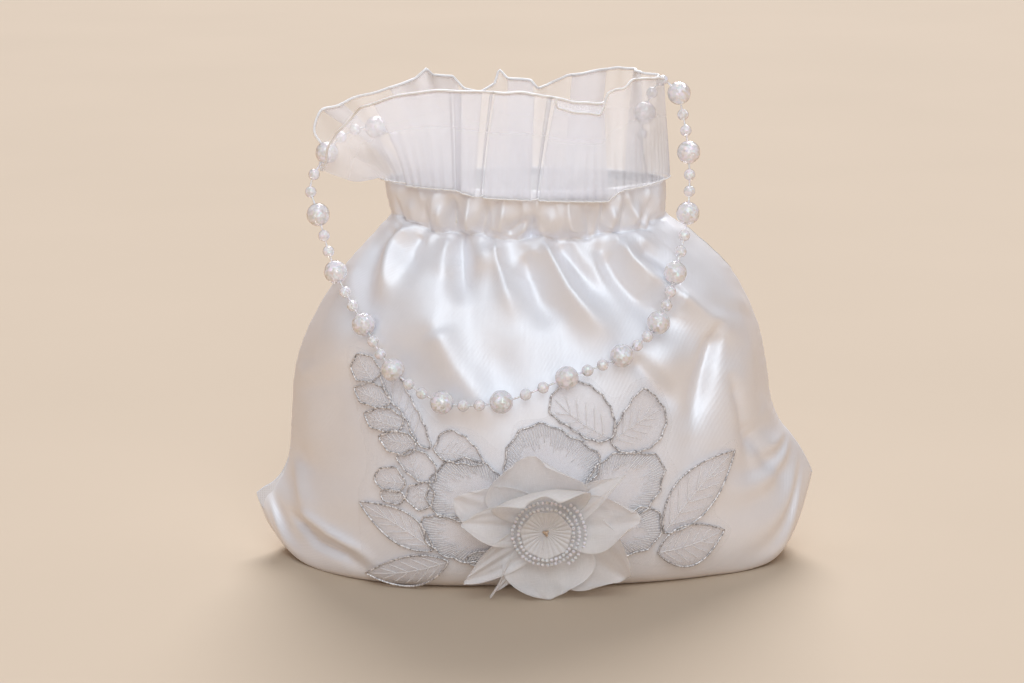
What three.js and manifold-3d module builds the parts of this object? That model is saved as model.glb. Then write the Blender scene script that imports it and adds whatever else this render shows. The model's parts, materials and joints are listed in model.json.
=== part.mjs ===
// Satin flower girl pouch: a gathered satin bag with an organza ruffle, a beaded handle,
// and a lace and chiffon flower on its front. Millimetres, +Z up, front towards -Y.
// Everything is drawn about the middle of the bag's bottom seam, and the last step moves the origin
// to the middle of the bottom of the bounding box.
import * as THREE from "three";
import { mergeVertices } from "three/addons/utils/BufferGeometryUtils.js";
import Module from "manifold-3d";

const wasm = await Module();
wasm.setup();

// ---- Driving dimensions ----
const SEAM_GAP = 0.3; // each panel stops this far from the side seam plane y = 0
const SATIN = { outer: 0, inner: 1.0 }; // insets from the bag's outer surface
const LINING = { outer: 1.8, inner: 2.4 };
const ELASTIC = { outer: 2.1, inner: 2.9, low: 121.5, high: 129 };
const CASING_TAPE = { outer: 3.3, inner: 3.9, low: 117, high: 132 };
const NET = { outer: -0.7, inner: -0.4 };
const MOTIF = { outer: -1.5, inner: -1.0 };
const PANEL_COLUMNS = 22;
const PANEL_ROWS = 14;
const LINING_ROWS = 12; // the lining stops two rows below the panel's top edge
const FULL_TURN = 2 * Math.PI;

const LARGE_BEAD = { radius: 4, bore: 1.25, arcSteps: 6, turns: 10 };
const SMALL_BEAD_RADIUS = 2;
const SMALL_BEAD_POLARS = [-1.33, -0.75, 0, 0.75, 1.33]; // latitudes of a small bead's facet rings
const THREAD_RADIUS = 0.45;
const THREAD_SIDES = 6;
const THREAD_STEP = 5; // longest straight run of a thread
const THREAD_CLEARANCE = 0.4; // between a thread's end and the bead it stops at

const RUFFLE = { thickness: 0.6, outset: 0.8, turns: 48, rows: 3 };
const FLOWER = { x: 4, z: 23, standOff: 2.1, tilt: 0.1 };
const PETAL = {
  root: 7, thickness: 0.45, layerStep: 0.95, lift: 3.2, liftReach: 30, widthFrom: 0.16, widthTo: 0.9,
};

// ---- The bag's shape: four curves share one parameter, 0 at the bottom seam and 1 at the neck ----
const vec = (x, y, z) => new THREE.Vector3(x, y, z);
const curve = (points, closed = false) =>
  new THREE.CatmullRomCurve3(points.map((p) => vec(...p)), closed, "catmullrom", 0.5);

const seamLeft = curve([
  [98, 0, 21], [97, 0, 21.8], [95.5, 0, 23], [92, 0, 25.2], [88.5, 0, 29.5], [86, 0, 37], [85, 0, 50],
  [83.3, 0, 68], [77.5, 0, 84], [66.5, 0, 102], [54, 0, 116.5], [49.5, 0, 123], [51.5, 0, 134.5],
]);
const seamRight = curve([
  [99, 0, 29], [98.4, 0, 30.5], [97, 0, 33.5], [94.5, 0, 38], [91, 0, 43], [87, 0, 48], [83.8, 0, 56],
  [81.8, 0, 69], [78.3, 0, 84], [69.5, 0, 101.5], [56, 0, 115], [46, 0, 123], [45.5, 0, 134.5],
]);
const frontMiddle = curve([
  [0, 0, 0], [0, 26, 0], [0, 43, 0], [0, 50.5, 6], [0, 53, 19], [0, 52.5, 38], [0, 48.5, 59],
  [0, 42, 79], [0, 34.5, 95], [0, 27.5, 108], [0, 23, 116.5], [0, 22.5, 122], [0, 24.5, 134],
]);
const backMiddle = curve([
  [0, 0, 0], [0, 22, 0], [0, 34, 0], [0, 42.5, 7], [0, 46, 20], [0, 46.5, 38], [0, 44, 59],
  [0, 39.5, 79], [0, 33, 95], [0, 27, 108], [0, 23, 116.5], [0, 22.5, 122], [0, 24.5, 134],
]);

const mix = (a, b, t) => a + (b - a) * t;
const smooth = (t) => THREE.MathUtils.smoothstep(t, 0, 1);

const BASE_V = 1 / 6; // the flat base ends here

// A point on the bag, at u from -1 (left seam) to 1 (right seam) and v from the bottom seam to the neck.
function bagPoint(side, u, v, inset) {
  const seam = (u < 0 ? seamLeft : seamRight).getPoint(v);
  const middle = (side < 0 ? frontMiddle : backMiddle).getPoint(v);
  const across = Math.abs(u);
  const leftBelly = u < 0 ? 1 - smooth(v / 0.75) : 0; // the lower left of the bag is stuffed fuller
  const pillow = (1 - across ** mix(2, 4.5, leftBelly)) ** mix(0.58, 1.35, leftBelly);
  const cornerRise = Math.max(0, (across - 0.5) / 0.5) ** 9;
  const rise = mix(cornerRise, across ** 3, smooth((v - BASE_V) / 0.3));
  const liftOffFloor = inset * (1 - smooth(v / 0.3)) * (1 - across ** 6);
  const depth = Math.max(0, middle.y - inset) * pillow;
  return vec(
    Math.sign(u) * (seam.x - inset) * across,
    side * (SEAM_GAP + depth),
    mix(Math.max(0, middle.z), seam.z, rise) + liftOffFloor,
  );
}

// The front surface's y at a given x and height, found by halving along v.
function frontY(x, z) {
  let low = BASE_V;
  let high = 1;
  let point;
  for (let step = 0; step < 30; step++) {
    const v = (low + high) / 2;
    const width = (x < 0 ? seamLeft : seamRight).getPoint(v).x;
    point = bagPoint(-1, THREE.MathUtils.clamp(x / width, -1, 1), v, 0);
    if (point.z > z) high = v;
    else low = v;
  }
  return point.y;
}

// ---- Geometry helpers ----
// A closed body between two surfaces, each a function of (s, t) in 0..1. With ring, s closes on itself.
function between(outer, inner, columns, rows, ring = false) {
  const positions = [];
  const index = [];
  const across = ring ? columns : columns + 1;
  for (const surface of [outer, inner])
    for (let j = 0; j <= rows; j++)
      for (let i = 0; i < across; i++) positions.push(...surface(i / columns, j / rows).toArray());
  const layer = across * (rows + 1);
  const at = (which, i, j) => which * layer + j * across + (i % across);
  const quad = (a, b, c, d) => index.push(a, b, c, a, c, d);
  for (let j = 0; j < rows; j++)
    for (let i = 0; i < columns; i++) {
      quad(at(0, i, j), at(0, i + 1, j), at(0, i + 1, j + 1), at(0, i, j + 1));
      quad(at(1, i, j), at(1, i, j + 1), at(1, i + 1, j + 1), at(1, i + 1, j));
    }
  for (let i = 0; i < columns; i++) {
    quad(at(0, i, 0), at(1, i, 0), at(1, i + 1, 0), at(0, i + 1, 0));
    quad(at(0, i, rows), at(0, i + 1, rows), at(1, i + 1, rows), at(1, i, rows));
  }
  if (!ring)
    for (let j = 0; j < rows; j++) {
      quad(at(0, 0, j), at(0, 0, j + 1), at(1, 0, j + 1), at(1, 0, j));
      quad(at(0, columns, j), at(1, columns, j), at(1, columns, j + 1), at(0, columns, j + 1));
    }
  return new THREE.BufferGeometry()
    .setAttribute("position", new THREE.Float32BufferAttribute(positions, 3))
    .setIndex(index);
}

// A sheet of the given thickness whose middle is the surface, offset along its own normals.
function sheet(surface, thickness, columns, rows, ring = false) {
  const step = 1e-3;
  const wrap = (s) => (ring ? s - Math.floor(s) : s);
  const offset = (distance) => (s, t) => {
    const ahead = ring ? s + step : Math.min(1, s + step);
    const above = Math.min(1, t + step);
    const alongS = surface(wrap(ahead), t).sub(surface(wrap(ahead - step), t));
    const alongT = surface(s, above).sub(surface(s, above - step));
    return surface(s, t).addScaledVector(alongS.cross(alongT).normalize(), distance);
  };
  return between(offset(thickness / 2), offset(-thickness / 2), columns, rows, ring);
}

function toSolid(geometry) {
  const bare = geometry.clone();
  bare.deleteAttribute("normal");
  bare.deleteAttribute("uv");
  const merged = mergeVertices(bare, 1e-4);
  return new wasm.Manifold(
    new wasm.Mesh({
      numProp: 3,
      vertProperties: merged.getAttribute("position").array,
      triVerts: new Uint32Array(merged.index.array),
    }),
  );
}

function toGeometry(solid) {
  const mesh = solid.getMesh();
  return new THREE.BufferGeometry()
    .setAttribute("position", new THREE.BufferAttribute(mesh.vertProperties, 3))
    .setIndex(new THREE.BufferAttribute(mesh.triVerts, 1));
}

// ---- Materials ----
const fabric = (color, roughness, extra = {}) =>
  new THREE.MeshStandardMaterial({ color, roughness, ...extra });
const satin = fabric(0xf4f3f6, 0.35);
const liningCloth = fabric(0xefeff2, 0.6);
const elasticCloth = fabric(0xf2f2f0, 0.8);
const organza = fabric(0xf6f3f4, 0.4, { transparent: true, opacity: 0.55 });
const chiffon = fabric(0xf7f3f0, 0.55, { transparent: true, opacity: 0.8 });
const lace = fabric(0xdcd6d6, 0.5);
const crystal = fabric(0xf3eef4, 0.1);
const thread = fabric(0xf3f0f2, 0.4);

const group = new THREE.Group();
function add(name, geometry, material) {
  const mesh = new THREE.Mesh(geometry, material);
  mesh.name = name;
  group.add(mesh);
  return mesh;
}

// ---- Bag: outer satin and lining, a front and a back panel of each ----
const seamSpread = (s) => Math.sin((Math.PI / 2) * (2 * s - 1)); // closer columns near the seams

function panelSolid(side, layer, rows) {
  const surface = (inset) => (s, t) =>
    bagPoint(side, side * -seamSpread(s), (t * rows) / PANEL_ROWS, inset);
  return between(surface(layer.outer), surface(layer.inner), PANEL_COLUMNS, rows);
}

for (const [name, side] of [["front", -1], ["back", 1]]) {
  add(`${name}_panel`, panelSolid(side, SATIN, PANEL_ROWS), satin);
  add(`${name}_lining`, panelSolid(side, LINING, LINING_ROWS), liningCloth);
}

// ---- Neck: an elastic ring in the casing, and the tape that closes the casing inside ----
const NECK_V = 11 / 12; // parameter of the waist of the neck

function neckPoint(angle, z, inset) {
  const side = Math.sin(angle) < 0 ? -1 : 1;
  const point = bagPoint(side, Math.cos(angle), NECK_V, inset);
  return vec(point.x, point.y, z);
}

const neckBand = (band) => (inset) => (s, t) =>
  neckPoint(FULL_TURN * s, mix(band.low, band.high, t), inset);
const elastic = neckBand(ELASTIC);
add("neck_elastic", between(elastic(ELASTIC.outer), elastic(ELASTIC.inner), 32, 1, true), elasticCloth);

for (const [name, side] of [["front", -1], ["back", 1]]) {
  const strip = (inset) => (s, t) => {
    const point = bagPoint(side, side * -seamSpread(s), NECK_V, inset);
    return vec(point.x, point.y, mix(CASING_TAPE.low, CASING_TAPE.high, t));
  };
  const tape = between(strip(CASING_TAPE.outer), strip(CASING_TAPE.inner), 16, 1);
  add(`casing_tape_${name}`, tape, liningCloth);
}

// ---- Ruffle: a ring of organza from the neck to its rim, with a lip that flops out on the left ----
const rim = curve([
  [-73, 1, 136.5], [-67, -11, 153.3], [-47.5, -22, 165.5], [-22, -28, 168], [0, -28.5, 166],
  [22, -26, 163.5], [35, -17, 165.5], [42.5, -7, 166], [45, 0, 165.5], [42.5, 8, 168],
  [35, 17, 170], [21, 26, 166],
  [0, 27, 163.5], [-23, 26, 166], [-52.7, 19, 163.5], [-74.4, 12, 153],
], true);
const RUFFLE_FOOT = 131.5;

function rufflePoint(s, t) {
  const angle = Math.PI + FULL_TURN * s;
  const side = Math.sin(angle) < 0 ? -1 : 1;
  const foot = bagPoint(side, Math.cos(angle), 1, -RUFFLE.outset).setZ(RUFFLE_FOOT);
  return foot.lerp(rim.getPoint(s), t);
}
add("organza_ruffle", sheet(rufflePoint, RUFFLE.thickness, RUFFLE.turns, RUFFLE.rows, true), organza);

// ---- Handle: beads on a thread, hung in a loop over the front with its tails inside the ruffle ----
// Each point is a large bead's centre, except the second, which guides the thread over the lip.
const drape = curve([
  [-71.5, 1.5, 142.8], [-77, -3, 132.5], [-74.2, -9, 123], [-68, -17, 104.5], [-58, -30.2, 89],
  [-47.7, -41.3, 75.7], [-31, -50, 66.5], [-11, -52.3, 67.3], [11, -50, 75], [29.6, -45, 81.5],
  [42.2, -36.5, 91], [48.2, -26, 106], [52.9, -14.5, 124.5], [53.3, -7.5, 144.5], [50, -3, 164.3],
]);
const tailLeft = curve([
  [-42.7, 0, 133.5], [-46, 0, 146], [-53, 0.3, 151.5], [-60, 0.7, 151.5], [-66.5, 1.1, 148.3],
  [-71.5, 1.5, 142.8],
]);
const tailRight = curve([
  [39.8, 0, 133.5], [37.5, -1, 148], [39, -2, 160], [44, -2.5, 168.5], [50, -3, 164.3],
]);
const SPAN_STEPS = 40; // arc-length samples between neighbouring points of a path
for (const path of [drape, tailLeft, tailRight])
  path.arcLengthDivisions = SPAN_STEPS * (path.points.length - 1);

const pointDistances = drape.getLengths().filter((_, i) => i % SPAN_STEPS === 0);
const beadDistances = pointDistances.filter((_, i) => i !== 1);
const lastBead = beadDistances.length - 1;

// A sphere with a bore through it along +Y.
function largeBeadGeometry() {
  const { radius, bore, arcSteps, turns } = LARGE_BEAD;
  const mouth = Math.asin(bore / radius);
  const profile = [];
  for (let i = 0; i <= arcSteps; i++) {
    const polar = mix(Math.PI - mouth, mouth, i / arcSteps);
    profile.push(new THREE.Vector2(radius * Math.sin(polar), radius * Math.cos(polar)));
  }
  profile.push(profile[0].clone());
  return toGeometry(toSolid(new THREE.LatheGeometry(profile, turns)));
}
const largeBead = largeBeadGeometry();
const ALONG_Y = vec(0, 1, 0);

function addLargeBead(name, path, distance) {
  const share = THREE.MathUtils.clamp(distance / path.getLength(), 0, 1);
  const bead = add(name, largeBead, crystal);
  bead.position.copy(path.getPointAt(share));
  bead.quaternion.setFromUnitVectors(ALONG_Y, path.getTangentAt(share));
}

// The thread from one distance along a path to another, swelling into a small bead at each given distance.
function threadGeometry(path, from, to, smallBeads) {
  const stations = [[from, THREAD_RADIUS], [to, THREAD_RADIUS]];
  for (let d = from + THREAD_STEP; d < to - THREAD_STEP / 2; d += THREAD_STEP)
    if (smallBeads.every((bead) => Math.abs(bead - d) > SMALL_BEAD_RADIUS))
      stations.push([d, THREAD_RADIUS]);
  for (const bead of smallBeads)
    for (const polar of SMALL_BEAD_POLARS)
      stations.push([bead + SMALL_BEAD_RADIUS * Math.sin(polar), SMALL_BEAD_RADIUS * Math.cos(polar)]);
  stations.sort((a, b) => a[0] - b[0]);
  const length = path.getLength();
  const positions = [];
  const index = [];
  stations.forEach(([distance, radius]) => {
    const centre = path.getPointAt(distance / length);
    const along = path.getTangentAt(distance / length);
    const out = vec(0, 0, 1).cross(along);
    if (out.length() < 0.1) out.set(1, 0, 0).cross(along);
    out.normalize();
    for (let k = 0; k < THREAD_SIDES; k++) {
      const spoke = out.clone().applyAxisAngle(along, (FULL_TURN * k) / THREAD_SIDES);
      positions.push(...centre.clone().addScaledVector(spoke, radius).toArray());
    }
  });
  const at = (ring, k) => ring * THREAD_SIDES + (k % THREAD_SIDES);
  for (let ring = 0; ring < stations.length - 1; ring++)
    for (let k = 0; k < THREAD_SIDES; k++) {
      index.push(at(ring, k), at(ring, k + 1), at(ring + 1, k + 1));
      index.push(at(ring, k), at(ring + 1, k + 1), at(ring + 1, k));
    }
  for (let k = 1; k < THREAD_SIDES - 1; k++) {
    index.push(at(0, 0), at(0, k + 1), at(0, k));
    index.push(at(stations.length - 1, 0), at(stations.length - 1, k), at(stations.length - 1, k + 1));
  }
  return new THREE.BufferGeometry()
    .setAttribute("position", new THREE.Float32BufferAttribute(positions, 3))
    .setIndex(index);
}

// Small beads sit in pairs between neighbouring large ones, at these shares of the way.
const SMALL_BEAD_SHARES = [0.365, 0.635];
const smallBeadsBetween = (from, to) => SMALL_BEAD_SHARES.map((share) => mix(from, to, share));

const two = (n) => String(n).padStart(2, "0");
beadDistances.forEach((distance, k) => addLargeBead(`handle_bead_${two(k)}`, drape, distance));

const beadStop = LARGE_BEAD.radius + THREAD_CLEARANCE; // a thread stops this far from the bead it ends at
const smallBeads = beadDistances
  .slice(1)
  .flatMap((distance, k) => smallBeadsBetween(beadDistances[k], distance));
const handleThread = threadGeometry(drape, beadStop, beadDistances[lastBead] - beadStop, smallBeads);
add("handle_thread", handleThread, thread);

// Each tail has its own large bead and three small ones, and ends above its anchor tab.
const TAIL_PITCH = 20.5;
const TAB = { width: 1.6, depth: 6, height: 13 };
for (const [name, path] of [["left", tailLeft], ["right", tailRight]]) {
  const length = path.getLength();
  const bead = length - TAIL_PITCH;
  addLargeBead(`tail_bead_${name}`, path, bead);
  const spots = [bead - SMALL_BEAD_SHARES[0] * TAIL_PITCH, ...smallBeadsBetween(bead, length)];
  add(`tail_thread_${name}`, threadGeometry(path, 0, length - beadStop, spots), thread);
  const foot = path.getPoint(0);
  const tab = add(`anchor_tab_${name}`, new THREE.BoxGeometry(TAB.width, TAB.depth, TAB.height), satin);
  tab.position.set(foot.x, foot.y, foot.z - THREAD_CLEARANCE - TAB.height / 2);
}

// ---- Lace: corded organza motifs on a net ground, curved to the front panel ----
const LACE_SPAN = { low: 0.16, high: 0.9 }; // share of the panel's height that the lace may cover
function shellOf(layer) {
  const surface = (inset) => (s, t) =>
    bagPoint(-1, seamSpread(s), mix(LACE_SPAN.low, LACE_SPAN.high, t), inset);
  return toSolid(between(surface(layer.outer), surface(layer.inner), PANEL_COLUMNS, PANEL_ROWS));
}
const netShell = shellOf(NET);
const motifShell = shellOf(MOTIF);
const LACE_PRISM = { front: -70, depth: 60 };

// A prism along y over an outline in the xz plane.
function prism(outline) {
  const shape = new THREE.Shape(outline.map(([x, z]) => new THREE.Vector2(x, z)));
  const geometry = new THREE.ExtrudeGeometry(shape, { depth: LACE_PRISM.depth, bevelEnabled: false });
  geometry.rotateX(Math.PI / 2);
  geometry.translate(0, LACE_PRISM.front + LACE_PRISM.depth, 0);
  return toSolid(geometry);
}

// Points round a closed smooth outline through the given points.
function smoothOutline(points, count) {
  const loop = curve(points.map(([x, z]) => [x, 0, z]), true);
  return loop.getPoints(count).slice(0, count).map((p) => [p.x, p.z]);
}

// A pointed leaf from its base to its tip: two arcs with the given greatest half width.
function leafOutline([baseX, baseZ], [tipX, tipZ], halfWidth, steps = 7) {
  const axis = new THREE.Vector2(tipX - baseX, tipZ - baseZ);
  const across = new THREE.Vector2(-axis.y, axis.x).normalize();
  const edge = (sign) => (t) => {
    const bulge = sign * halfWidth * Math.sin(Math.PI * t ** 0.8);
    return [baseX + axis.x * t + across.x * bulge, baseZ + axis.y * t + across.y * bulge];
  };
  const shares = Array.from({ length: steps }, (_, i) => i / steps);
  return [...shares.map((t) => edge(-1)(t)), ...shares.map((t) => edge(1)(1 - t))];
}

// A scalloped petal: a fan from the flower's centre whose rim swells between two angles.
const FAN_SHOULDER = 0.55; // how far out the fan's rim starts, as a share of its reach
function fanOutline(centre, inner, outer, fromDegrees, toDegrees, steps = 9) {
  const points = [];
  for (let i = 0; i <= steps; i++) {
    const share = i / steps;
    const angle = THREE.MathUtils.degToRad(mix(fromDegrees, toDegrees, share));
    const radius = mix(mix(inner, outer, FAN_SHOULDER), outer, Math.sin(Math.PI * share) ** 0.6);
    points.push([centre[0] + radius * Math.cos(angle), centre[1] + radius * Math.sin(angle)]);
  }
  for (const degrees of [toDegrees, fromDegrees]) {
    const angle = THREE.MathUtils.degToRad(degrees);
    points.push([centre[0] + inner * Math.cos(angle), centre[1] + inner * Math.sin(angle)]);
  }
  return points;
}

function addMotif(name, outlines) {
  const footprint = outlines.map(prism).reduce((all, next) => all.add(next));
  add(name, toGeometry(motifShell.intersect(footprint)), lace);
}

const HEART = [FLOWER.x, FLOWER.z];
const LACE_PETALS = [
  ["lace_petal_top", 9, 37, 66, 116],
  ["lace_petal_upper_right", 9, 40, 14, 58],
  ["lace_petal_lower_right", 9, 39, -24, 10],
  ["lace_petal_upper_left", 9, 41, 126, 172],
  ["lace_petal_lower_left", 9, 38.5, 175, 192],
  ["lace_petal_bottom", 9, 27, 200, 226],
];
for (const [name, inner, outer, from, to] of LACE_PETALS)
  addMotif(name, [fanOutline(HEART, inner, outer, from, to)]);

addMotif("lace_leaves_upper", [
  smoothOutline([[14, 57], [6, 62], [9, 70], [17, 71.5], [24, 66], [27, 56], [21, 54]], 18),
  smoothOutline([[24, 54], [28, 60.5], [36, 69], [42, 64], [44, 57], [40, 53], [31, 53]], 16),
]);
addMotif("lace_leaves_right", [
  leafOutline([45, 18], [67, 44], 6.5),
  leafOutline([44, 15], [64, 17], 6.8),
]);
addMotif("lace_leaves_left", [
  leafOutline([-34, 15], [-58, 30], 6.2),
  leafOutline([-30, 12.5], [-56, 4.5], 5.6),
]);
addMotif("lace_sprig_upper", [
  leafOutline([-37, 53], [-51, 71], 7),
  leafOutline([-50, 68], [-61, 77.5], 4.5),
  leafOutline([-46, 62], [-61, 67], 3.6),
  leafOutline([-43, 57], [-55, 58], 3),
]);
addMotif("lace_sprig_leaf", [leafOutline([-34, 53], [-20, 52], 4.2)]);
addMotif("lace_sprig_lower", [
  smoothOutline([[-40, 33], [-45, 39], [-43, 46], [-37, 47.5], [-35.5, 43], [-36.5, 36]], 12),
  leafOutline([-43, 42], [-54, 40], 3.2),
  leafOutline([-43, 36], [-53, 32], 2.8),
]);

const netOutline = [
  [-64, 78], [-56, 79.5], [-46, 73], [-33, 59], [-21, 57], [-10, 50], [-6, 59.5], [5, 62], [8, 72],
  [18, 74], [27, 67], [35, 72.5], [42, 70], [47, 57], [45, 49], [49, 40], [49, 30], [66, 48],
  [70, 44], [62, 26],
  [68, 17], [58, 7.5], [40, 8], [22, 12.5], [-12, 12.5], [-20, 9], [-38, 4], [-56, 4], [-60, 30], [-57, 44],
];
add("lace_net_ground", toGeometry(netShell.intersect(prism(netOutline))), lace);

// ---- Chiffon flower: petals stitched round a gathered centre, with strings of seed beads ----
const flower = new THREE.Group();
flower.position.set(FLOWER.x, frontY(FLOWER.x, FLOWER.z) - FLOWER.standOff, FLOWER.z);
flower.rotation.x = FLOWER.tilt;
group.add(flower);
function addToFlower(name, geometry, material) {
  const mesh = add(name, geometry, material);
  flower.add(mesh);
  return mesh;
}

// One petal in the flower's own frame, where -Y is outwards.
// All petals share one lift, so layers never cross.
function petalSurface(reach, halfWidth, height) {
  return (s, t) => {
    const radius = mix(PETAL.root, reach, t);
    const width = halfWidth * Math.sin(Math.PI * mix(PETAL.widthFrom, PETAL.widthTo, t)) ** 0.7;
    const side = width * (2 * s - 1);
    const share = Math.hypot(radius, side) / PETAL.liftReach;
    return vec(side, -(height + PETAL.lift * share * share), radius);
  };
}

// Direction in degrees from +X, reach, half width and layer of each petal.
const PETALS = [
  [140, 29, 11, 0], [90, 24, 11, 1], [42, 32, 8, 0], [12, 30, 8, 1], [-35, 28, 11, 0],
  [-88, 21.5, 12, 1], [-132, 25, 8, 0], [172, 24, 10, 2], [212, 28, 8, 3], [65, 20, 10, 3],
];
PETALS.forEach(([degrees, reach, halfWidth, layer], k) => {
  const surface = petalSurface(reach, halfWidth, layer * PETAL.layerStep);
  const petal = addToFlower(`chiffon_petal_${two(k + 1)}`, sheet(surface, PETAL.thickness, 4, 4), chiffon);
  petal.rotation.y = Math.PI / 2 - THREE.MathUtils.degToRad(degrees);
});

const CENTRE = { radius: 8, rim: 3.2, depth: 1.4, base: 4.6 };
const cup = [
  [0, 0], [5.2, 0], [CENTRE.radius, CENTRE.rim - 0.6], [CENTRE.radius, CENTRE.rim], [6.4, CENTRE.rim],
  [2, CENTRE.depth], [0, CENTRE.depth],
].map(([r, y]) => new THREE.Vector2(r, y));
const cupGeometry = toGeometry(toSolid(new THREE.LatheGeometry(cup, 20)));
const centre = addToFlower("flower_centre", cupGeometry, chiffon);
centre.rotation.x = Math.PI;
centre.position.y = -CENTRE.base;

// Strings of seed beads, each a plain ring of the beads' own diameter.
const SEED_RADIUS = 0.8;
const RING_HEIGHT = CENTRE.base + 1.6;
for (const [name, radius, height] of [["inner", 9.3, 0.9], ["outer", 11.2, 0]]) {
  const beads = new THREE.TorusGeometry(radius, SEED_RADIUS, 6, 26);
  const ring = addToFlower(`seed_bead_ring_${name}`, beads, crystal);
  ring.rotation.x = Math.PI / 2;
  ring.position.y = -(RING_HEIGHT + height);
}

// ---- Origin: the middle of the bottom of the bounding box ----
const bounds = new THREE.Box3().setFromObject(group, true);
const middleOfBounds = bounds.getCenter(vec(0, 0, 0));
group.position.set(-middleOfBounds.x, -middleOfBounds.y, -bounds.min.z);

export default group;
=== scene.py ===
import json
import math

import bpy
import numpy as np
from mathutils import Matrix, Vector
from mathutils.bvhtree import BVHTree
from mathutils.geometry import delaunay_2d_cdt


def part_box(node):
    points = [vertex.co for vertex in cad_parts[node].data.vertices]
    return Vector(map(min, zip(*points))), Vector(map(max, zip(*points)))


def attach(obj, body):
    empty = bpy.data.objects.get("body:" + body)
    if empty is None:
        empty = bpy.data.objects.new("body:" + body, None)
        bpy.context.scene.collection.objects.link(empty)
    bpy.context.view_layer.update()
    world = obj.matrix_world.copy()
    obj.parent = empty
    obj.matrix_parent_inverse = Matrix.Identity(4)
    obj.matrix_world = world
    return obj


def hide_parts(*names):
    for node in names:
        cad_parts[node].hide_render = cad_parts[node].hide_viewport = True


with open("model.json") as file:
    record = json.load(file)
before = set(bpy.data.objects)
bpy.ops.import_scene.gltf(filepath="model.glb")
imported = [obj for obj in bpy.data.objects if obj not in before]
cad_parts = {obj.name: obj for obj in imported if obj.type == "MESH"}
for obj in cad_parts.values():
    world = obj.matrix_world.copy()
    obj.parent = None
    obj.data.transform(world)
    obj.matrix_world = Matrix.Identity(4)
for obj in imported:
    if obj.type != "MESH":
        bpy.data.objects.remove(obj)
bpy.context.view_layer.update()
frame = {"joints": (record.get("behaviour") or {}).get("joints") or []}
rng = np.random.default_rng(7)

# ---- The design frame: millimetres, origin under the middle of the bag's bottom seam, front towards -Y ----
MM = 0.001
LEFT_RIM_BEAD = np.array([-71.5, 1.5, 142.8])
shift = np.array(frame["joints"][0]["pos_m"]) - LEFT_RIM_BEAD * MM

SEAM_LEFT = [
    (98, 21), (97, 21.8), (95.5, 23), (92, 25.2), (88.5, 29.5), (86, 37), (85, 50), (83.3, 68),
    (77.5, 84), (66.5, 102), (54, 116.5), (49.5, 123), (51.5, 134.5),
]
SEAM_RIGHT = [
    (99, 29), (98.4, 30.5), (97, 33.5), (94.5, 38), (91, 43), (87, 48), (83.8, 56), (81.8, 69),
    (78.3, 84), (69.5, 101.5), (56, 115), (46, 123), (45.5, 134.5),
]
FRONT_MIDDLE = [
    (0, 0), (26, 0), (43, 0), (50.5, 6), (53, 19), (52.5, 38), (48.5, 59), (42, 79), (34.5, 95),
    (27.5, 108), (23, 116.5), (22.5, 122), (24.5, 134),
]
BACK_MIDDLE = [
    (0, 0), (22, 0), (34, 0), (42.5, 7), (46, 20), (46.5, 38), (44, 59), (39.5, 79), (33, 95),
    (27, 108), (23, 116.5), (22.5, 122), (24.5, 134),
]
BASE_V = 1 / 6


def spline(points, t, closed=False):
    """Catmull-Rom curve through the points, at parameters t from 0 to 1."""
    p = np.asarray(points, float)
    spans = len(p) if closed else len(p) - 1
    if closed:
        p = np.vstack([p[-1], p, p[0], p[1]])
        k = (np.asarray(t, float) % 1.0) * spans
    else:
        p = np.vstack([2 * p[0] - p[1], p, 2 * p[-1] - p[-2]])
        k = np.clip(t, 0, 1) * spans
    i = np.minimum(np.floor(k).astype(int), spans - 1)
    f = (k - i)[..., None]
    a, b, c, d = (p[i + j] for j in range(4))
    square, cube = 2 * a - 5 * b + 4 * c - d, 3 * b - a - 3 * c + d
    return 0.5 * (2 * b + (c - a) * f + square * f**2 + cube * f**3)


def circle(count):
    """Angles evenly round a full turn."""
    return np.linspace(0, 2 * np.pi, count + 1)[:-1]


def smooth(t):
    """Eases from 0 to 1 as t does."""
    t = np.clip(t, 0, 1)
    return t * t * (3 - 2 * t)


def bag_points(side, u, v, inset=0.0, gap=0.0):
    """Points on the bag: u from -1 at the left seam to 1 at the right, v from the base to the neck."""
    u, v = np.broadcast_arrays(np.asarray(u, float), np.asarray(v, float))
    seam = np.where((u < 0)[..., None], spline(SEAM_LEFT, v), spline(SEAM_RIGHT, v))
    middle = spline(FRONT_MIDDLE if side < 0 else BACK_MIDDLE, v)
    across = np.abs(u)
    belly = np.where(u < 0, 1 - smooth(v / 0.75), 0)
    pillow = (1 - across ** (2 + 2.5 * belly)) ** (0.58 + 0.77 * belly)
    corner = np.maximum(0, (across - 0.5) / 0.5) ** 9
    rise = corner + (across**3 - corner) * smooth((v - BASE_V) / 0.3)
    lift = inset * (1 - smooth(v / 0.3)) * (1 - across**6)
    depth = np.maximum(0, middle[..., 0] - inset) * pillow
    z = np.maximum(0, middle[..., 1])
    return np.stack([
        np.sign(u) * (seam[..., 0] - inset) * across,
        side * (gap + depth),
        z + (seam[..., 1] - z) * rise + lift,
    ], -1)


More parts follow.
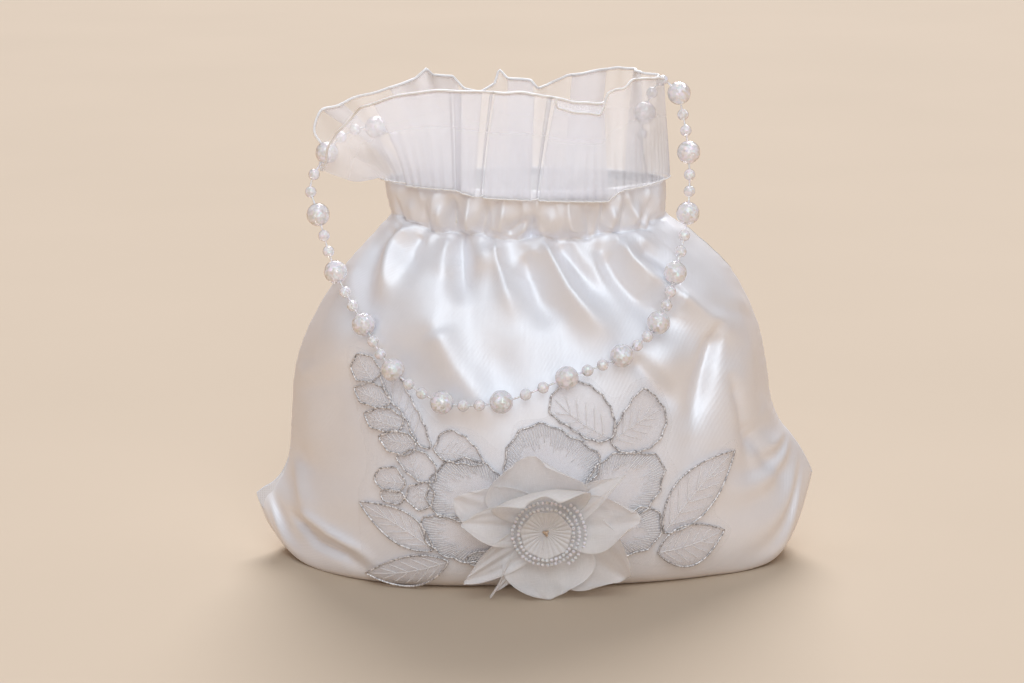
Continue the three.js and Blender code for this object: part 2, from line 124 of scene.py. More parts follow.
# ---- Mesh helpers ----
def link(name, verts, faces, material, body="bag", nodes=(), slot="satin", uvs=None):
    """A finished piece from millimetre points in the design frame."""
    mesh = bpy.data.meshes.new(name)
    world = np.asarray(verts, float) * MM + shift
    mesh.from_pydata(world.tolist(), [], [tuple(int(i) for i in f) for f in faces])
    if uvs is not None:
        layer = mesh.uv_layers.new(name="UVMap")
        corner = np.zeros(len(mesh.loops), int)
        mesh.loops.foreach_get("vertex_index", corner)
        layer.data.foreach_set("uv", np.asarray(uvs, np.float32)[corner].ravel())
    mesh.polygons.foreach_set("use_smooth", [True] * len(mesh.polygons))
    mesh.update()
    obj = bpy.data.objects.new(name, mesh)
    bpy.context.scene.collection.objects.link(obj)
    mesh.materials.append(material)
    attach(obj, body)
    if nodes:
        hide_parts(*nodes)


def grid_faces(columns, rows, ring=False, flip=False):
    """Quads over a grid of points stored row by row."""
    across = columns if ring else columns + 1
    j, i = np.meshgrid(np.arange(rows), np.arange(columns), indexing="ij")
    right = (i + 1) % across if ring else i + 1
    below, above = j * across, (j + 1) * across
    quads = np.stack([below + i, below + right, above + right, above + i], -1)
    quads = quads.reshape(-1, 4)
    return quads[:, ::-1] if flip else quads


def grid_normals(points, ring=False):
    """Unit normals of a grid of points, along the cross product of its column and row directions."""
    if ring:
        along = np.roll(points, -1, 1) - np.roll(points, 1, 1)
    else:
        along = np.gradient(points, axis=1)
    up = np.gradient(points, axis=0)
    normal = np.cross(along, up)
    return normal / np.maximum(np.linalg.norm(normal, axis=-1, keepdims=True), 1e-9)


def end_caps(sides, rings):
    """The two end faces of a stack of rings."""
    return [list(range(sides))[::-1], [(rings - 1) * sides + i for i in range(sides)]]


def thick_sheet(points, normals, thickness, ring=False):
    """Closed body: the grid as its outer face, and a copy moved in along the normals."""
    rows, across = points.shape[0] - 1, points.shape[1]
    columns = across if ring else across - 1
    inner = points - normals * thickness
    verts = np.vstack([points.reshape(-1, 3), inner.reshape(-1, 3)])
    layer = points.shape[0] * across
    faces = [grid_faces(columns, rows, ring), grid_faces(columns, rows, ring, flip=True) + layer]
    i = np.arange(columns)
    k = (i + 1) % across
    top = rows * across
    faces.append(np.stack([i, i + layer, k + layer, k], -1))
    faces.append(np.stack([top + i, top + k, top + k + layer, top + i + layer], -1))
    if not ring:
        j = np.arange(rows) * across
        n = across
        faces.append(np.stack([j, j + n, j + n + layer, j + layer], -1))
        e = j + columns
        faces.append(np.stack([e, e + layer, e + n + layer, e + n], -1))
    return verts, np.vstack(faces)


def tube(path, radius, sides=8, closed=False, twist=0.0, flat=1.0):
    """A tube along the path. twist is in turns per millimetre, and flat squeezes the section."""
    path = np.asarray(path, float)
    ahead = np.roll(path, -1, 0) - np.roll(path, 1, 0) if closed else np.gradient(path, axis=0)
    ahead /= np.maximum(np.linalg.norm(ahead, axis=1, keepdims=True), 1e-9)
    normal = np.cross(ahead[0], [0.31, 0.2, 0.93])
    normal /= np.linalg.norm(normal)
    frames = []
    for direction in ahead:
        normal = normal - direction * (normal @ direction)
        normal /= np.linalg.norm(normal)
        frames.append(normal)
    frames = np.array(frames)
    other = np.cross(ahead, frames)
    step = np.linalg.norm(np.diff(path, axis=0), axis=1)
    distance = np.concatenate([[0], np.cumsum(step)])
    if twist and closed:
        total = distance[-1] + np.linalg.norm(path[0] - path[-1])
        twist = max(1, round(twist * total)) / total
    radius = np.broadcast_to(np.asarray(radius, float), (len(path),))
    angle = np.arange(sides) / sides * 2 * np.pi
    spin = distance * twist * 2 * np.pi
    a, b = np.cos(angle)[None] * radius[:, None], np.sin(angle)[None] * radius[:, None] * flat
    c, s = np.cos(spin)[:, None], np.sin(spin)[:, None]
    p, q = a * c - b * s, a * s + b * c
    verts = path[:, None] + p[..., None] * frames[:, None] + q[..., None] * other[:, None]
    n = len(path)
    rings = n if closed else n - 1
    j, i = np.meshgrid(np.arange(rings), np.arange(sides), indexing="ij")
    j2 = (j + 1) % n
    k = (i + 1) % sides
    faces = np.stack([j * sides + i, j * sides + k, j2 * sides + k, j2 * sides + i], -1)
    faces = faces.reshape(-1, 4).tolist()
    if not closed:
        faces += end_caps(sides, n)
    return verts.reshape(-1, 3), faces


def merge(parts):
    """One verts and faces pair from many."""
    verts, faces, start = [], [], 0
    for v, f in parts:
        verts.append(v)
        faces.extend([[int(i) + start for i in face] for face in f])
        start += len(v)
    return np.vstack(verts), faces


def resample(path, step, closed=False):
    """Points at even distances along a path."""
    path = np.asarray(path, float)
    if closed:
        path = np.vstack([path, path[:1]])
    distance = np.concatenate([[0], np.cumsum(np.linalg.norm(np.diff(path, axis=0), axis=1))])
    count = max(2, int(round(distance[-1] / step)))
    at = np.linspace(0, distance[-1], count + 1)
    out = np.stack([np.interp(at, distance, path[:, k]) for k in range(path.shape[1])], 1)
    return out[:-1] if closed else out


# ---- Materials ----
class Nodes:
    """Short hand for building a node material."""

    def __init__(self, name):
        self.material = bpy.data.materials.new(name)
        self.material.use_nodes = True
        self.tree = self.material.node_tree
        self.tree.nodes.clear()
        self.out = self.tree.nodes.new("ShaderNodeOutputMaterial")

    def node(self, kind, settings=None, **inputs):
        made = self.tree.nodes.new(kind)
        for key, value in (settings or {}).items():
            setattr(made, key, value)
        for key, value in inputs.items():
            self.put(made, key.replace("_", " "), value)
        return made

    def put(self, node, key, value):
        socket = node.inputs[int(key)] if key.isdigit() else node.inputs[key]
        if isinstance(value, bpy.types.NodeSocket):
            self.tree.links.new(value, socket)
        else:
            socket.default_value = value

    def coords(self, kind="Object"):
        return self.node("ShaderNodeTexCoord").outputs[kind]

    def scaled(self, vector, scale, rotate=(0, 0, 0)):
        return self.node("ShaderNodeMapping", Vector=vector, Scale=scale, Rotation=rotate).outputs[0]

    def noise(self, vector, scale, detail=2.0, rough=0.5):
        made = self.node("ShaderNodeTexNoise", Vector=vector, Scale=scale, Detail=detail, Roughness=rough)
        return made.outputs["Fac"]

    def wave(self, vector, scale, direction="X", distortion=0.0):
        made = self.node("ShaderNodeTexWave", {"bands_direction": direction}, Vector=vector, Scale=scale)
        made.inputs["Distortion"].default_value = distortion
        return made.outputs["Fac"]

    def calc(self, kind, operation, *values):
        made = self.node(kind, {"operation": operation})
        for k, value in enumerate(values):
            self.put(made, str(k), value)
        return made

    def math(self, operation, *values, clamp=False):
        made = self.calc("ShaderNodeMath", operation, *values)
        made.use_clamp = clamp
        return made.outputs[0]

    def vector(self, operation, *values):
        return self.calc("ShaderNodeVectorMath", operation, *values).outputs[0]

    def mixed(self, share, first, second):
        """The first shader where share is 0, the second where it is 1."""
        made = self.node("ShaderNodeMixShader", Fac=share)
        self.put(made, "1", first)
        self.put(made, "2", second)
        return made.outputs[0]

    def ramp(self, fac, stops):
        made = self.node("ShaderNodeValToRGB", Fac=fac)
        elements = made.color_ramp.elements
        for k, (position, color) in enumerate(stops):
            element = elements[k] if k < 2 else elements.new(position)
            element.position = position
            element.color = (*color, 1)
        return made.outputs[0]

    def bump(self, height, strength, distance):
        return self.node("ShaderNodeBump", Height=height, Strength=strength, Distance=distance).outputs[0]

    def finish(self, shader):
        self.tree.links.new(shader, self.out.inputs[0])
        return self.material


def weave(nodes, vector, threads_per_mm):
    """Height of a plain weave in the plane of the first two coordinates, given in metres."""
    scale = threads_per_mm * 1000 / (2 * math.pi)
    over = nodes.wave(vector, scale, "X")
    under = nodes.wave(vector, scale, "Y")
    return nodes.math("MULTIPLY", over, under)


def satin_material():
    n = Nodes("satin_cloth")
    uv = n.coords("UV")
    obj = n.coords("Object")
    weft = n.wave(n.scaled(uv, (1, 1, 1), (0, 0, 0.6)), 220, "X", 1.5)
    slub = n.noise(n.scaled(uv, (900, 90, 1)), 1.0, 3.0)
    fine = n.math("ADD", n.math("MULTIPLY", weft, 0.6), n.math("MULTIPLY", slub, 0.7))
    wrinkle = n.noise(obj, 90, 3.0, 0.55)
    height = n.math("ADD", n.math("MULTIPLY", fine, 0.2), wrinkle)
    tone = n.noise(obj, 30, 4.0, 0.6)
    color = n.ramp(tone, [(0.3, (0.84, 0.855, 0.90)), (0.7, (0.89, 0.905, 0.95))])
    rough = n.math("MULTIPLY_ADD", slub, 0.16, 0.43)
    shader = n.node(
        "ShaderNodeBsdfPrincipled", Base_Color=color, Roughness=rough, Anisotropic=0.5,
        Normal=n.bump(height, 0.25, 0.0006),
    )
    shader.inputs["Metallic"].default_value = 0.30
    shader.inputs["Specular IOR Level"].default_value = 0.8
    shader.inputs["Sheen Weight"].default_value = 0.1
    shader.inputs["Sheen Roughness"].default_value = 0.4
    return n.finish(shader.outputs[0])


FOOT_HEIGHT = 0.024  # metres over which the denser foot of the sheer cloth fades


def sheer_material(name, low, high, alpha, mesh_per_mm, pattern=0.12, rough=0.45, through=0.45, foot=0.0):
    """Sheer cloth: part transparent, part translucent, with the gaps of its weave, denser at its foot."""
    n = Nodes(name)
    uv = n.coords("UV")
    threads = n.noise(n.scaled(uv, (mesh_per_mm * 2000, mesh_per_mm * 200, 1)), 1.0, 2.0)
    cross = n.noise(n.scaled(uv, (mesh_per_mm * 200, mesh_per_mm * 2000, 1)), 1.0, 2.0)
    grain = n.math("MAXIMUM", threads, cross)
    color = n.ramp(n.noise(n.coords("Object"), 40, 3.0), [(0.3, low), (0.7, high)])
    normal = n.bump(grain, pattern, 0.0003)
    cloth = n.node("ShaderNodeBsdfPrincipled", Base_Color=color, Roughness=rough, Normal=normal)
    cloth.inputs["Sheen Weight"].default_value = 0.4
    glow = n.node("ShaderNodeBsdfTranslucent", Color=color)
    body = n.mixed(through, cloth.outputs[0], glow.outputs[0])
    cover = n.math("MULTIPLY_ADD", grain, pattern, alpha - 0.6 * pattern, clamp=not foot)
    if foot:
        height = n.node("ShaderNodeSeparateXYZ", Vector=uv).outputs["Y"]
        gathered = n.math("MULTIPLY_ADD", height, -foot / FOOT_HEIGHT, foot, clamp=True)
        cover = n.math("ADD", cover, gathered, clamp=True)
    return n.finish(n.mixed(cover, n.node("ShaderNodeBsdfTransparent").outputs[0], body))


def cloth_material(name, low, high, threads_per_mm, rough=0.7, sheen=0.2):
    """Plain woven cloth for the hidden inside pieces."""
    n = Nodes(name)
    uv = n.coords("UV")
    height = weave(n, uv, threads_per_mm)
    color = n.ramp(n.noise(n.coords("Object"), 60, 4.0), [(0.3, low), (0.7, high)])
    normal = n.bump(height, 0.5, 0.0003)
    shader = n.node("ShaderNodeBsdfPrincipled", Base_Color=color, Roughness=rough, Normal=normal)
    shader.inputs["Sheen Weight"].default_value = sheen
    return n.finish(shader.outputs[0])


def cord_material(name, low, high, metal=0.0, rough=0.35, through=0.0):
    """Twisted thread: its colour changes at random between the two given; on the silver cord the wide range
    is painted glint and shade of the twist.
    """
    n = Nodes(name)
    obj = n.coords("Object")
    tone = n.noise(obj, 1400, 2.0)
    color = n.ramp(tone, [(0.35, low), (0.65, high)])
    shader = n.node(
        "ShaderNodeBsdfPrincipled", Base_Color=color, Roughness=rough, Metallic=metal,
        Normal=n.bump(n.noise(obj, 2500, 2.0), 0.4, 0.0002),
    )
    shader.inputs["Specular IOR Level"].default_value = 0.7
    glow = n.node("ShaderNodeBsdfTranslucent", Color=color)
    return n.finish(n.mixed(through, shader.outputs[0], glow.outputs[0]))


FACET_LEAN = 0.75  # how far the fragments of a crackled bead turn from its surface


def bead_material(name, tint, clear, cracks):
    """Crackled clear bead with a pearly coating: each fragment between cracks catches the light its own way,
    and a random bright tint on each is painted sparkle.
    """
    n = Nodes(name)
    obj = n.coords("Object")
    cell = n.node("ShaderNodeTexVoronoi", {"feature": "F1"}, Vector=obj, Scale=cracks)
    # Random bright colours of the fragments mixed into the base colour: painted sparkle of the coating.
    painted_sparkle = n.node("ShaderNodeHueSaturation", Saturation=0.45, Value=1.3, Color=cell.outputs["Color"])
    base = n.node("ShaderNodeMix", {"data_type": "RGBA"})
    base.inputs[0].default_value = 0.16
    base.inputs[6].default_value = (*tint, 1)
    n.tree.links.new(painted_sparkle.outputs[0], base.inputs[7])
    lean = n.vector("SUBTRACT", cell.outputs["Color"], (0.5, 0.5, 0.5))
    lean = n.vector("MULTIPLY", lean, (FACET_LEAN, FACET_LEAN, FACET_LEAN))
    facet = n.vector("ADD", lean, n.node("ShaderNodeNewGeometry").outputs["Normal"])
    thickness = n.math("MULTIPLY_ADD", n.noise(obj, 500, 1.0), 380.0, 160.0)
    shader = n.node("ShaderNodeBsdfPrincipled", Base_Color=base.outputs[2], Roughness=0.12, IOR=1.55)
    n.put(shader, "Normal", n.vector("NORMALIZE", facet))
    shader.inputs["Transmission Weight"].default_value = clear
    n.tree.links.new(thickness, shader.inputs["Thin Film Thickness"])
    shader.inputs["Thin Film IOR"].default_value = 1.7
    shader.inputs["Coat Weight"].default_value = 1.0
    shader.inputs["Coat Roughness"].default_value = 0.03
    pale_shadow = n.math("MULTIPLY", n.node("ShaderNodeLightPath").outputs["Is Shadow Ray"], 0.6)
    clear_shader = n.node("ShaderNodeBsdfTransparent")
    return n.finish(n.mixed(pale_shadow, shader.outputs[0], clear_shader.outputs[0]))


satin = satin_material()
organza = sheer_material(
    "organza", (0.88, 0.885, 0.92), (0.91, 0.92, 0.95), 0.25, 3.0, 0.02, through=0.65, foot=0.15,
)
chiffon = sheer_material(
    "chiffon", (0.95, 0.95, 0.97), (0.99, 0.99, 0.995), 0.50, 1.6, 0.22, rough=0.6, through=0.15,
)
motif_cloth = sheer_material("lace_motif_cloth", (0.90, 0.88, 0.89), (0.96, 0.94, 0.95), 0.14, 1.5)
tulle = sheer_material("lace_tulle", (0.92, 0.90, 0.91), (0.96, 0.95, 0.96), 0.035, 0.8, 0.05)
white_thread = cord_material("white_thread", (0.92, 0.92, 0.94), (0.99, 0.99, 1.0), through=0.2)
hem_thread = cord_material("hem_thread", (0.97, 0.97, 0.98), (1.0, 1.0, 1.0), rough=0.5, through=0.1)
# The silver cord's colour runs from near black to white: painted glints and shade of its twist over its
# silver tone.
silver_cord = cord_material("silver_cord", (0.30, 0.29, 0.30), (1.0, 0.99, 1.0), 0.3, 0.28)
bead_clear = bead_material("crackle_bead", (1.0, 0.985, 1.0), 0.25, 1100)
bead_small = bead_material("small_bead", (1.0, 0.985, 1.0), 0.25, 1500)
seed_clear = bead_material("seed_bead", (1.0, 0.99, 1.0), 0.3, 2200)
lining_cloth = cloth_material("lining_cloth", (0.74, 0.74, 0.77), (0.82, 0.82, 0.84), 3.0)
tape_cloth = cloth_material("casing_tape_cloth", (0.78, 0.77, 0.79), (0.86, 0.85, 0.87), 1.6)
elastic_cloth = cloth_material("elastic_cloth", (0.78, 0.78, 0.76), (0.88, 0.88, 0.86), 1.2, 0.85)

# ---- Satin: the folds of the stuffed, gathered bag ----
PANEL_COLUMNS, PANEL_ROWS = 260, 180
CLOTH = 0.45
GATHER_V = 0.845  # the gathering seam, at the middle of a panel


def gather_v(u):
    return GATHER_V + 0.065 * np.abs(u) ** 2 + 0.009 * np.sin(14 * u + 1) + 0.005 * np.sin(31 * u)


def ridge(x, z, points, widths, height, sharp):
    """A fold along a polyline: height outwards on the line, fading over the widths given at its ends."""
    p = np.asarray(points, float)
    best = np.full(np.shape(x), 1e9)
    share = np.zeros(np.shape(x))
    steps = np.linalg.norm(np.diff(p, axis=0), axis=1)
    total = steps.sum()
    run = 0.0
    for a, b, length in zip(p[:-1], p[1:], steps):
        t = np.clip(((x - a[0]) * (b[0] - a[0]) + (z - a[1]) * (b[1] - a[1])) / length**2, 0, 1)
        gap = np.hypot(x - a[0] - t * (b[0] - a[0]), z - a[1] - t * (b[1] - a[1]))
        near = gap < best
        best = np.where(near, gap, best)
        share = np.where(near, (run + t * length) / total, share)
        run += length
    width = widths[0] + (widths[1] - widths[0]) * share
    fall = np.clip(best / width, 0, None)
    profile = np.exp(-((fall / 0.75) ** (2 / sharp)) * 1.1)
    ends = smooth(share / 0.12) * 0.6 + 0.4
    ends = ends * (1 - 0.85 * smooth((share - 0.55) / 0.45))
    return height * profile * ends


def lump(x, z, centre, radii, height, tilt):
    """A broad soft swelling."""
    dx, dz = x - centre[0], z - centre[1]
    c, s = math.cos(tilt), math.sin(tilt)
    a, b = (dx * c + dz * s) / radii[0], (-dx * s + dz * c) / radii[1]
    return height * np.exp(-(a * a + b * b))


# Folds that start at the gathering seam: place across the panel, width, height and reach down the panel.
FRONT_PLEATS = [
    (-0.97, 0.05, 0.8, 0.30), (-0.88, 0.06, 1.5, 0.34), (-0.77, 0.05, 1.0, 0.22), (-0.66, 0.055, 1.4, 0.26),
    (-0.53, 0.05, 1.0, 0.20), (-0.42, 0.045, 1.2, 0.28), (-0.31, 0.04, 0.8, 0.16), (-0.20, 0.05, 1.4, 0.30),
    (-0.08, 0.04, 1.0, 0.20), (0.04, 0.045, 1.5, 0.26), (0.16, 0.05, 1.1, 0.22), (0.27, 0.045, 1.3, 0.18),
    (0.38, 0.05, 1.0, 0.24), (0.50, 0.05, 1.5, 0.30), (0.62, 0.045, 0.9, 0.20), (0.73, 0.05, 1.4, 0.28),
    (0.85, 0.05, 1.0, 0.32), (0.95, 0.05, 0.9, 0.30),
]
BACK_PLEATS = [
    (-0.94, 0.05, 0.9, 0.34), (-0.82, 0.06, 1.3, 0.30), (-0.69, 0.05, 1.0, 0.24), (-0.55, 0.06, 1.7, 0.42),
    (-0.41, 0.045, 0.9, 0.20), (-0.29, 0.05, 1.4, 0.34), (-0.16, 0.045, 1.0, 0.22),
    (-0.03, 0.055, 1.8, 0.46), (0.11, 0.045, 1.0, 0.24), (0.23, 0.05, 1.3, 0.30), (0.36, 0.05, 1.0, 0.20),
    (0.48, 0.055, 1.7, 0.40),
    (0.61, 0.045, 1.0, 0.26), (0.74, 0.055, 1.4, 0.34), (0.88, 0.06, 1.1, 0.34),
]


def gathers(u, v, pleats, depth_below, depth_above, puffed):
    """Pleats below the gathering seam, deepest at the seam, and the puffed casing above it."""
    seam = gather_v(u)
    below = np.clip((seam - v), 0, None)
    above = np.clip((v - seam), 0, None)
    relief = np.zeros(np.shape(u))
    for k, (place, width, height, reach) in enumerate(pleats):
        lean = 0.25 * place * below + 0.03 * np.sin(5 * k + 9 * below)
        spread = width * (0.85 + 2.2 * below / 0.3)
        offset = np.abs(u - place - lean) / spread
        pleat = depth_below * height * np.exp(-(offset**1.5))
        relief += pleat * smooth(1 - below / (reach * 1.6)) * (above <= 0)
        offset = np.abs(u - place - 0.025 * np.sin(3 * k + 30 * above)) / (width * 0.55)
        pleat = depth_above * height * np.exp(-(offset**1.6))
        relief += pleat * (above > 0) * smooth((1 - v) / 0.03 + 0.35)
    relief -= 0.6 * smooth(1 - below / 0.3)
    puff = np.sin(np.pi * np.clip(above / np.maximum(1 - seam, 1e-3), 0, 1)) ** 0.7
    uneven = 0.7 * np.sin(9 * u + 0.5) + 0.5 * np.sin(19 * u + 2.2)
    relief += (puffed + uneven) * puff
    pinch = np.exp(-(((v - seam) / 0.010) ** 2))
    relief -= (0.9 + 0.4 * np.sin(61 * u)) * pinch
    return relief


# Folds as height outwards in millimetres, shape, widths and points. Several points make a ridge, whose shape
# is its sharpness, and one point a lump, whose shape is its tilt.
FRONT_FOLDS = [
    (4.2, 1.35, (3.4, 9), [(2.5, 116.5), (7, 109), (11.5, 101), (20, 91.5), (30, 82)]),
    (-2.6, 1.0, (3.2, 8), [(7, 116), (14, 108), (20, 101), (30, 92)]),
    (2.8, 1.35, (2.8, 8), [(-13, 116.5), (-12, 109), (-9.5, 101), (-4, 89)]),
    (-2.2, 1.0, (3.2, 8), [(-3, 113), (-1.5, 106), (2, 98), (9, 88)]),
    (-3.4, 1.2, (2.4, 7), [(-24.8, 122), (-24.8, 116), (-24.5, 108), (-23, 94)]),
    (1.6, 1.2, (3, 7), [(-29, 117), (-30, 110), (-31, 102)]),
    (3.2, 1.35, (2.8, 7), [(-40.5, 119), (-47, 113), (-49.5, 104), (-51, 92)]),
    (-2.4, 1.0, (2.8, 7), [(-46, 118), (-53, 111), (-56, 102), (-58, 90)]),
    (-1.6, 1.0, (2.4, 5), [(-38, 117), (-41, 110), (-43, 104)]),
    (3.6, 1.35, (3.2, 8), [(28, 116), (33, 109), (40, 103), (47, 99), (60, 88)]),
    (-2.8, 1.0, (3.2, 8), [(23, 113), (28, 105), (35, 97), (44, 91), (53, 84)]),
    (-1.8, 1.0, (2.6, 6), [(36, 113), (43, 108), (52, 102)]),
    (2, 0.0, (3.6, 4.6), [(-17.3, 111.5)]),
    (2.2, 0.0, (3.8, 4.0), [(-0.8, 113)]),
    (1.6, -0.5, (5.0, 3.6), [(37, 115)]),
    (3.2, 0.0, (14, 16), [(-37, 97)]),
    (2.2, 0.5, (13, 10), [(-62, 82)]),
    (2.6, 1.2, (7, 12), [(-33, 88), (-26, 76), (-18, 66), (-12, 56)]),
    (-2.2, -0.5, (12, 9), [(-45, 72)]),
    (-1.6, 0.4, (8, 12), [(-12, 76)]),
    (2.4, 1.2, (4, 8), [(47, 97), (55, 92), (62, 87), (72, 78)]),
    (-3, 1.2, (3.2, 6), [(61.5, 85), (58, 72), (55, 59), (54, 50)]),
    (-2, 1.0, (3.4, 5), [(33, 79), (42, 69), (51, 59)]),
    (2.4, 0.7, (9, 8), [(45, 77)]),
    (2.4, 0.0, (8, 15), [(69, 64)]),
    (-1.6, 1.2, (2.2, 5), [(66.5, 68), (71, 55), (74, 44), (78, 28)]),
    (2.2, 1.3, (3.0, 4.5), [(80, 58), (85, 50), (92, 41), (98, 34)]),
    (-1.8, 1.0, (3, 4), [(74, 50), (80, 41), (87, 33), (94, 30)]),
    (2.2, 1.3, (4, 7), [(-86, 38), (-80, 26), (-73, 13)]),
    (-2.6, 1.2, (2.4, 3.2), [(-84, 16), (-76, 10), (-66, 9), (-58, 5)]),
    (1.4, 1.2, (2.6, 3.2), [(-80, 20), (-70, 15), (-60, 12), (-52, 6)]),
    (1.5, 0.0, (20, 15), [(10, 62)]),
]
BACK_FOLDS = [
    (2.6, 1.0, (5, 12), [(-10, 114), (-14, 103), (-20, 92), (-26, 80)]),
    (2.8, 1.0, (5, 12), [(14, 114), (17, 102), (18, 90), (22, 76)]),
    (-1.8, 1.0, (4, 10), [(2, 114), (1, 102), (-2, 88), (-1, 74)]),
    (2.6, 1.0, (4.5, 10), [(36, 114), (46, 105), (56, 96), (66, 84)]),
    (-1.6, 1.0, (4, 9), [(30, 110), (38, 98), (46, 88)]),
    (2.4, 1.0, (4.5, 10), [(-35, 114), (-45, 104), (-54, 95), (-62, 84)]),
    (-1.6, 1.0, (4, 9), [(-28, 110), (-36, 98), (-42, 86)]),
    (1.6, 0.0, (30, 20), [(0, 55)]),
    (1.6, 1.0, (4, 6), [(80, 56), (85, 48), (91, 41), (97, 34)]),
    (-1.2, 1.0, (3, 4), [(70, 30), (78, 26), (86, 26)]),
    (1.6, 1.0, (5, 5), [(-85, 38), (-82, 28), (-90, 23)]),
    (-1.4, 1.0, (3, 4), [(-80, 14), (-70, 9), (-58, 7)]),
    (1.4, 0.0, (14, 18), [(-45, 62)]),
    (1.4, 0.0, (12, 18), [(50, 66)]),
]
# Sharp valleys of the front casing, and the puffs between them: line, width and height.
CASING_VALLEYS = [
    ([(-45, 121), (-47, 131)], 2.6, 1.6), ([(-34.5, 119), (-38, 131)], 2.6, 1.4),
    ([(-27, 115), (-27, 133)], 3.2, 3.4), ([(-17.5, 118), (-15, 131)], 2.4, 1.8),
    ([(-1.2, 116), (0.5, 127)], 2.6, 3.2), ([(-9, 119), (-1, 126)], 2.0, 1.6),
    ([(19, 116), (17.5, 131)], 2.4, 2.2), ([(22.5, 118), (23.5, 130)], 1.8, 1.6),
    ([(29.5, 117), (31, 131)], 2.4, 2.0), ([(36, 119), (39, 131)], 2.4, 1.6),
]
CASING_PUFFS = [
    ([(-40, 120), (-42, 130)], 3.0, 1.2), ([(-31, 119), (-31, 130)], 2.6, 1.5),
    ([(-22, 117), (-22, 130)], 3.0, 1.7), ([(-12, 119), (-9, 130)], 3.4, 1.6),
    ([(5, 117), (6, 130)], 3.2, 1.6), ([(13, 118), (12, 130)], 3.0, 1.2),
    ([(26, 118), (26.5, 129)], 2.6, 1.7), ([(33.5, 119), (35, 130)], 2.6, 1.4),
]
CREASE_SHARPNESS = 1.2
CASING_CREASES = [
    (sign * height, CREASE_SHARPNESS, (width, width), line)
    for sign, table in ((-1, CASING_VALLEYS), (1, CASING_PUFFS)) for line, width, height in table
]


def folds(x, z, table):
    """The ridges and lumps of a table added up, in millimetres outwards."""
    relief = np.zeros(np.shape(x))
    for height, shape, widths, points in table:
        if len(points) > 1:
            relief += ridge(x, z, points, widths, height, shape)
        else:
            relief += lump(x, z, points[0], widths, height, shape)
    return relief


def noise_field(u, v, cells, seed):
    """Smooth random field from -1 to 1 over the panel."""
    table = np.random.default_rng(seed).uniform(-1, 1, (cells[1] + 3, cells[0] + 3))
    a, b = (u + 1) / 2 * cells[0], v * cells[1]
    i, j = np.floor(a).astype(int), np.floor(b).astype(int)
    s, t = smooth(a - i), smooth(b - j)
    low = table[j, i] * (1 - s) + table[j, i + 1] * s
    high = table[j + 1, i] * (1 - s) + table[j + 1, i + 1] * s
    return low * (1 - t) + high * t


def bead_centre(name):
    low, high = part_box(name)
    return (np.array((low + high) / 2) - shift) / MM


HANDLE_BEADS = [f"handle_bead_{k:02d}" for k in range(14)]
bead_centres = [bead_centre(name) for name in HANDLE_BEADS]


# By side: pleats, their depth below and above the gathering seam, the casing's puff, folds and their depth.
PANELS = {
    -1: (FRONT_PLEATS, 0.7, 0.7, 2.7, FRONT_FOLDS, 1.25),
    1: (BACK_PLEATS, 1.15, 1.5, 1.5, BACK_FOLDS, 1.7),
}
CREASE_DEPTH = 1.2
DEEPEST = 2  # millimetres inwards from which the relief is held back
BEAD_DENT = 5.4  # distance from a resting bead's centre at which the satin gives way


def satin_panel(side):
    """One satin panel as u, v and points, with its gathers, folds, seam draws and the dents of the beads."""
    pleats, depth_below, depth_above, puffed, fold_table, fold_depth = PANELS[side]
    spread = np.sin(np.pi / 2 * (2 * np.linspace(0, 1, PANEL_COLUMNS + 1) - 1))
    u, v = np.meshgrid(-side * spread, np.linspace(0, 1, PANEL_ROWS + 1))
    points = bag_points(side, u, v)
    x, z = points[..., 0], points[..., 2]
    to_seam = 1 - np.abs(u)
    edge = smooth(to_seam / 0.10)
    off_base = smooth((v - 0.10) / 0.16)
    relief = gathers(u, v, pleats, depth_below, depth_above, puffed)
    relief = relief * np.where(v > 0.75, 0.35 + 0.65 * edge, edge)
    seam = gather_v(u)
    below_seam = smooth((seam + 0.02 - v) / 0.02)
    relief += fold_depth * folds(x, z, fold_table) * edge * off_base * below_seam
    if side < 0:
        relief += CREASE_DEPTH * folds(x, z, CASING_CREASES) * smooth((v - seam + 0.01) / 0.02) * edge
    relief += (0.7 * noise_field(u, v, (9, 8), 3) + 0.3 * noise_field(u, v, (22, 18), 5)) * edge * off_base
    pucker = np.exp(-(to_seam / 0.02)) * np.sin(v * 210 + 2 * np.sin(v * 41))
    relief += 0.08 * pucker * smooth((v - 0.35) / 0.1)
    slant = v * (70 + 8 * side) + side * 9 * to_seam + 5 * noise_field(u, v, (4, 10), 11 + side)
    draws = np.sin(slant) * np.maximum(0, noise_field(u, v, (3, 14), 15 + side) + 0.15)
    near_seam = np.exp(-((to_seam / 0.22) ** 2)) * smooth(to_seam / 0.05)
    relief += 1.2 * draws * near_seam * off_base * smooth((0.80 - v) / 0.1)
    held = -DEEPEST + 1.4 * np.tanh((relief + DEEPEST) / 1.4)
    relief = np.where(relief < -DEEPEST, held, relief)
    flatten = np.clip(z / 6, 0, 1)
    relief = np.where(relief < 0, relief, relief * (0.25 + 0.75 * flatten))
    moved = points + grid_normals(points) * relief[..., None]
    moved[..., 2] = np.maximum(moved[..., 2], 0.05)
    moved[..., 1] = side * np.maximum(side * moved[..., 1], 0.02)
    if side < 0:
        for centre in bead_centres[1:13]:
            away = moved - centre
            distance = np.linalg.norm(away, axis=-1)
            press = np.clip(BEAD_DENT - distance, 0, None)
            near = (distance < 9) & (away[..., 1] > -2)
            moved[..., 1] += np.where(near, press * 1.1, 0)
    return u, v, moved


front, back = satin_panel(-1), satin_panel(1)
front_points, back_points = front[2], back[2]
for name, (u, v, points) in [("front_panel", front), ("back_panel", back)]:
    thickness = np.minimum(CLOTH, 0.4 * np.abs(points[..., 1:2]))
    verts, faces = thick_sheet(points, grid_normals(points), thickness)
    uv = np.stack([u.ravel() * 0.1, v.ravel() * 0.23], 1)
    link(f"satin_{name}", verts, faces, satin, nodes=(name,), uvs=np.vstack([uv, uv]))


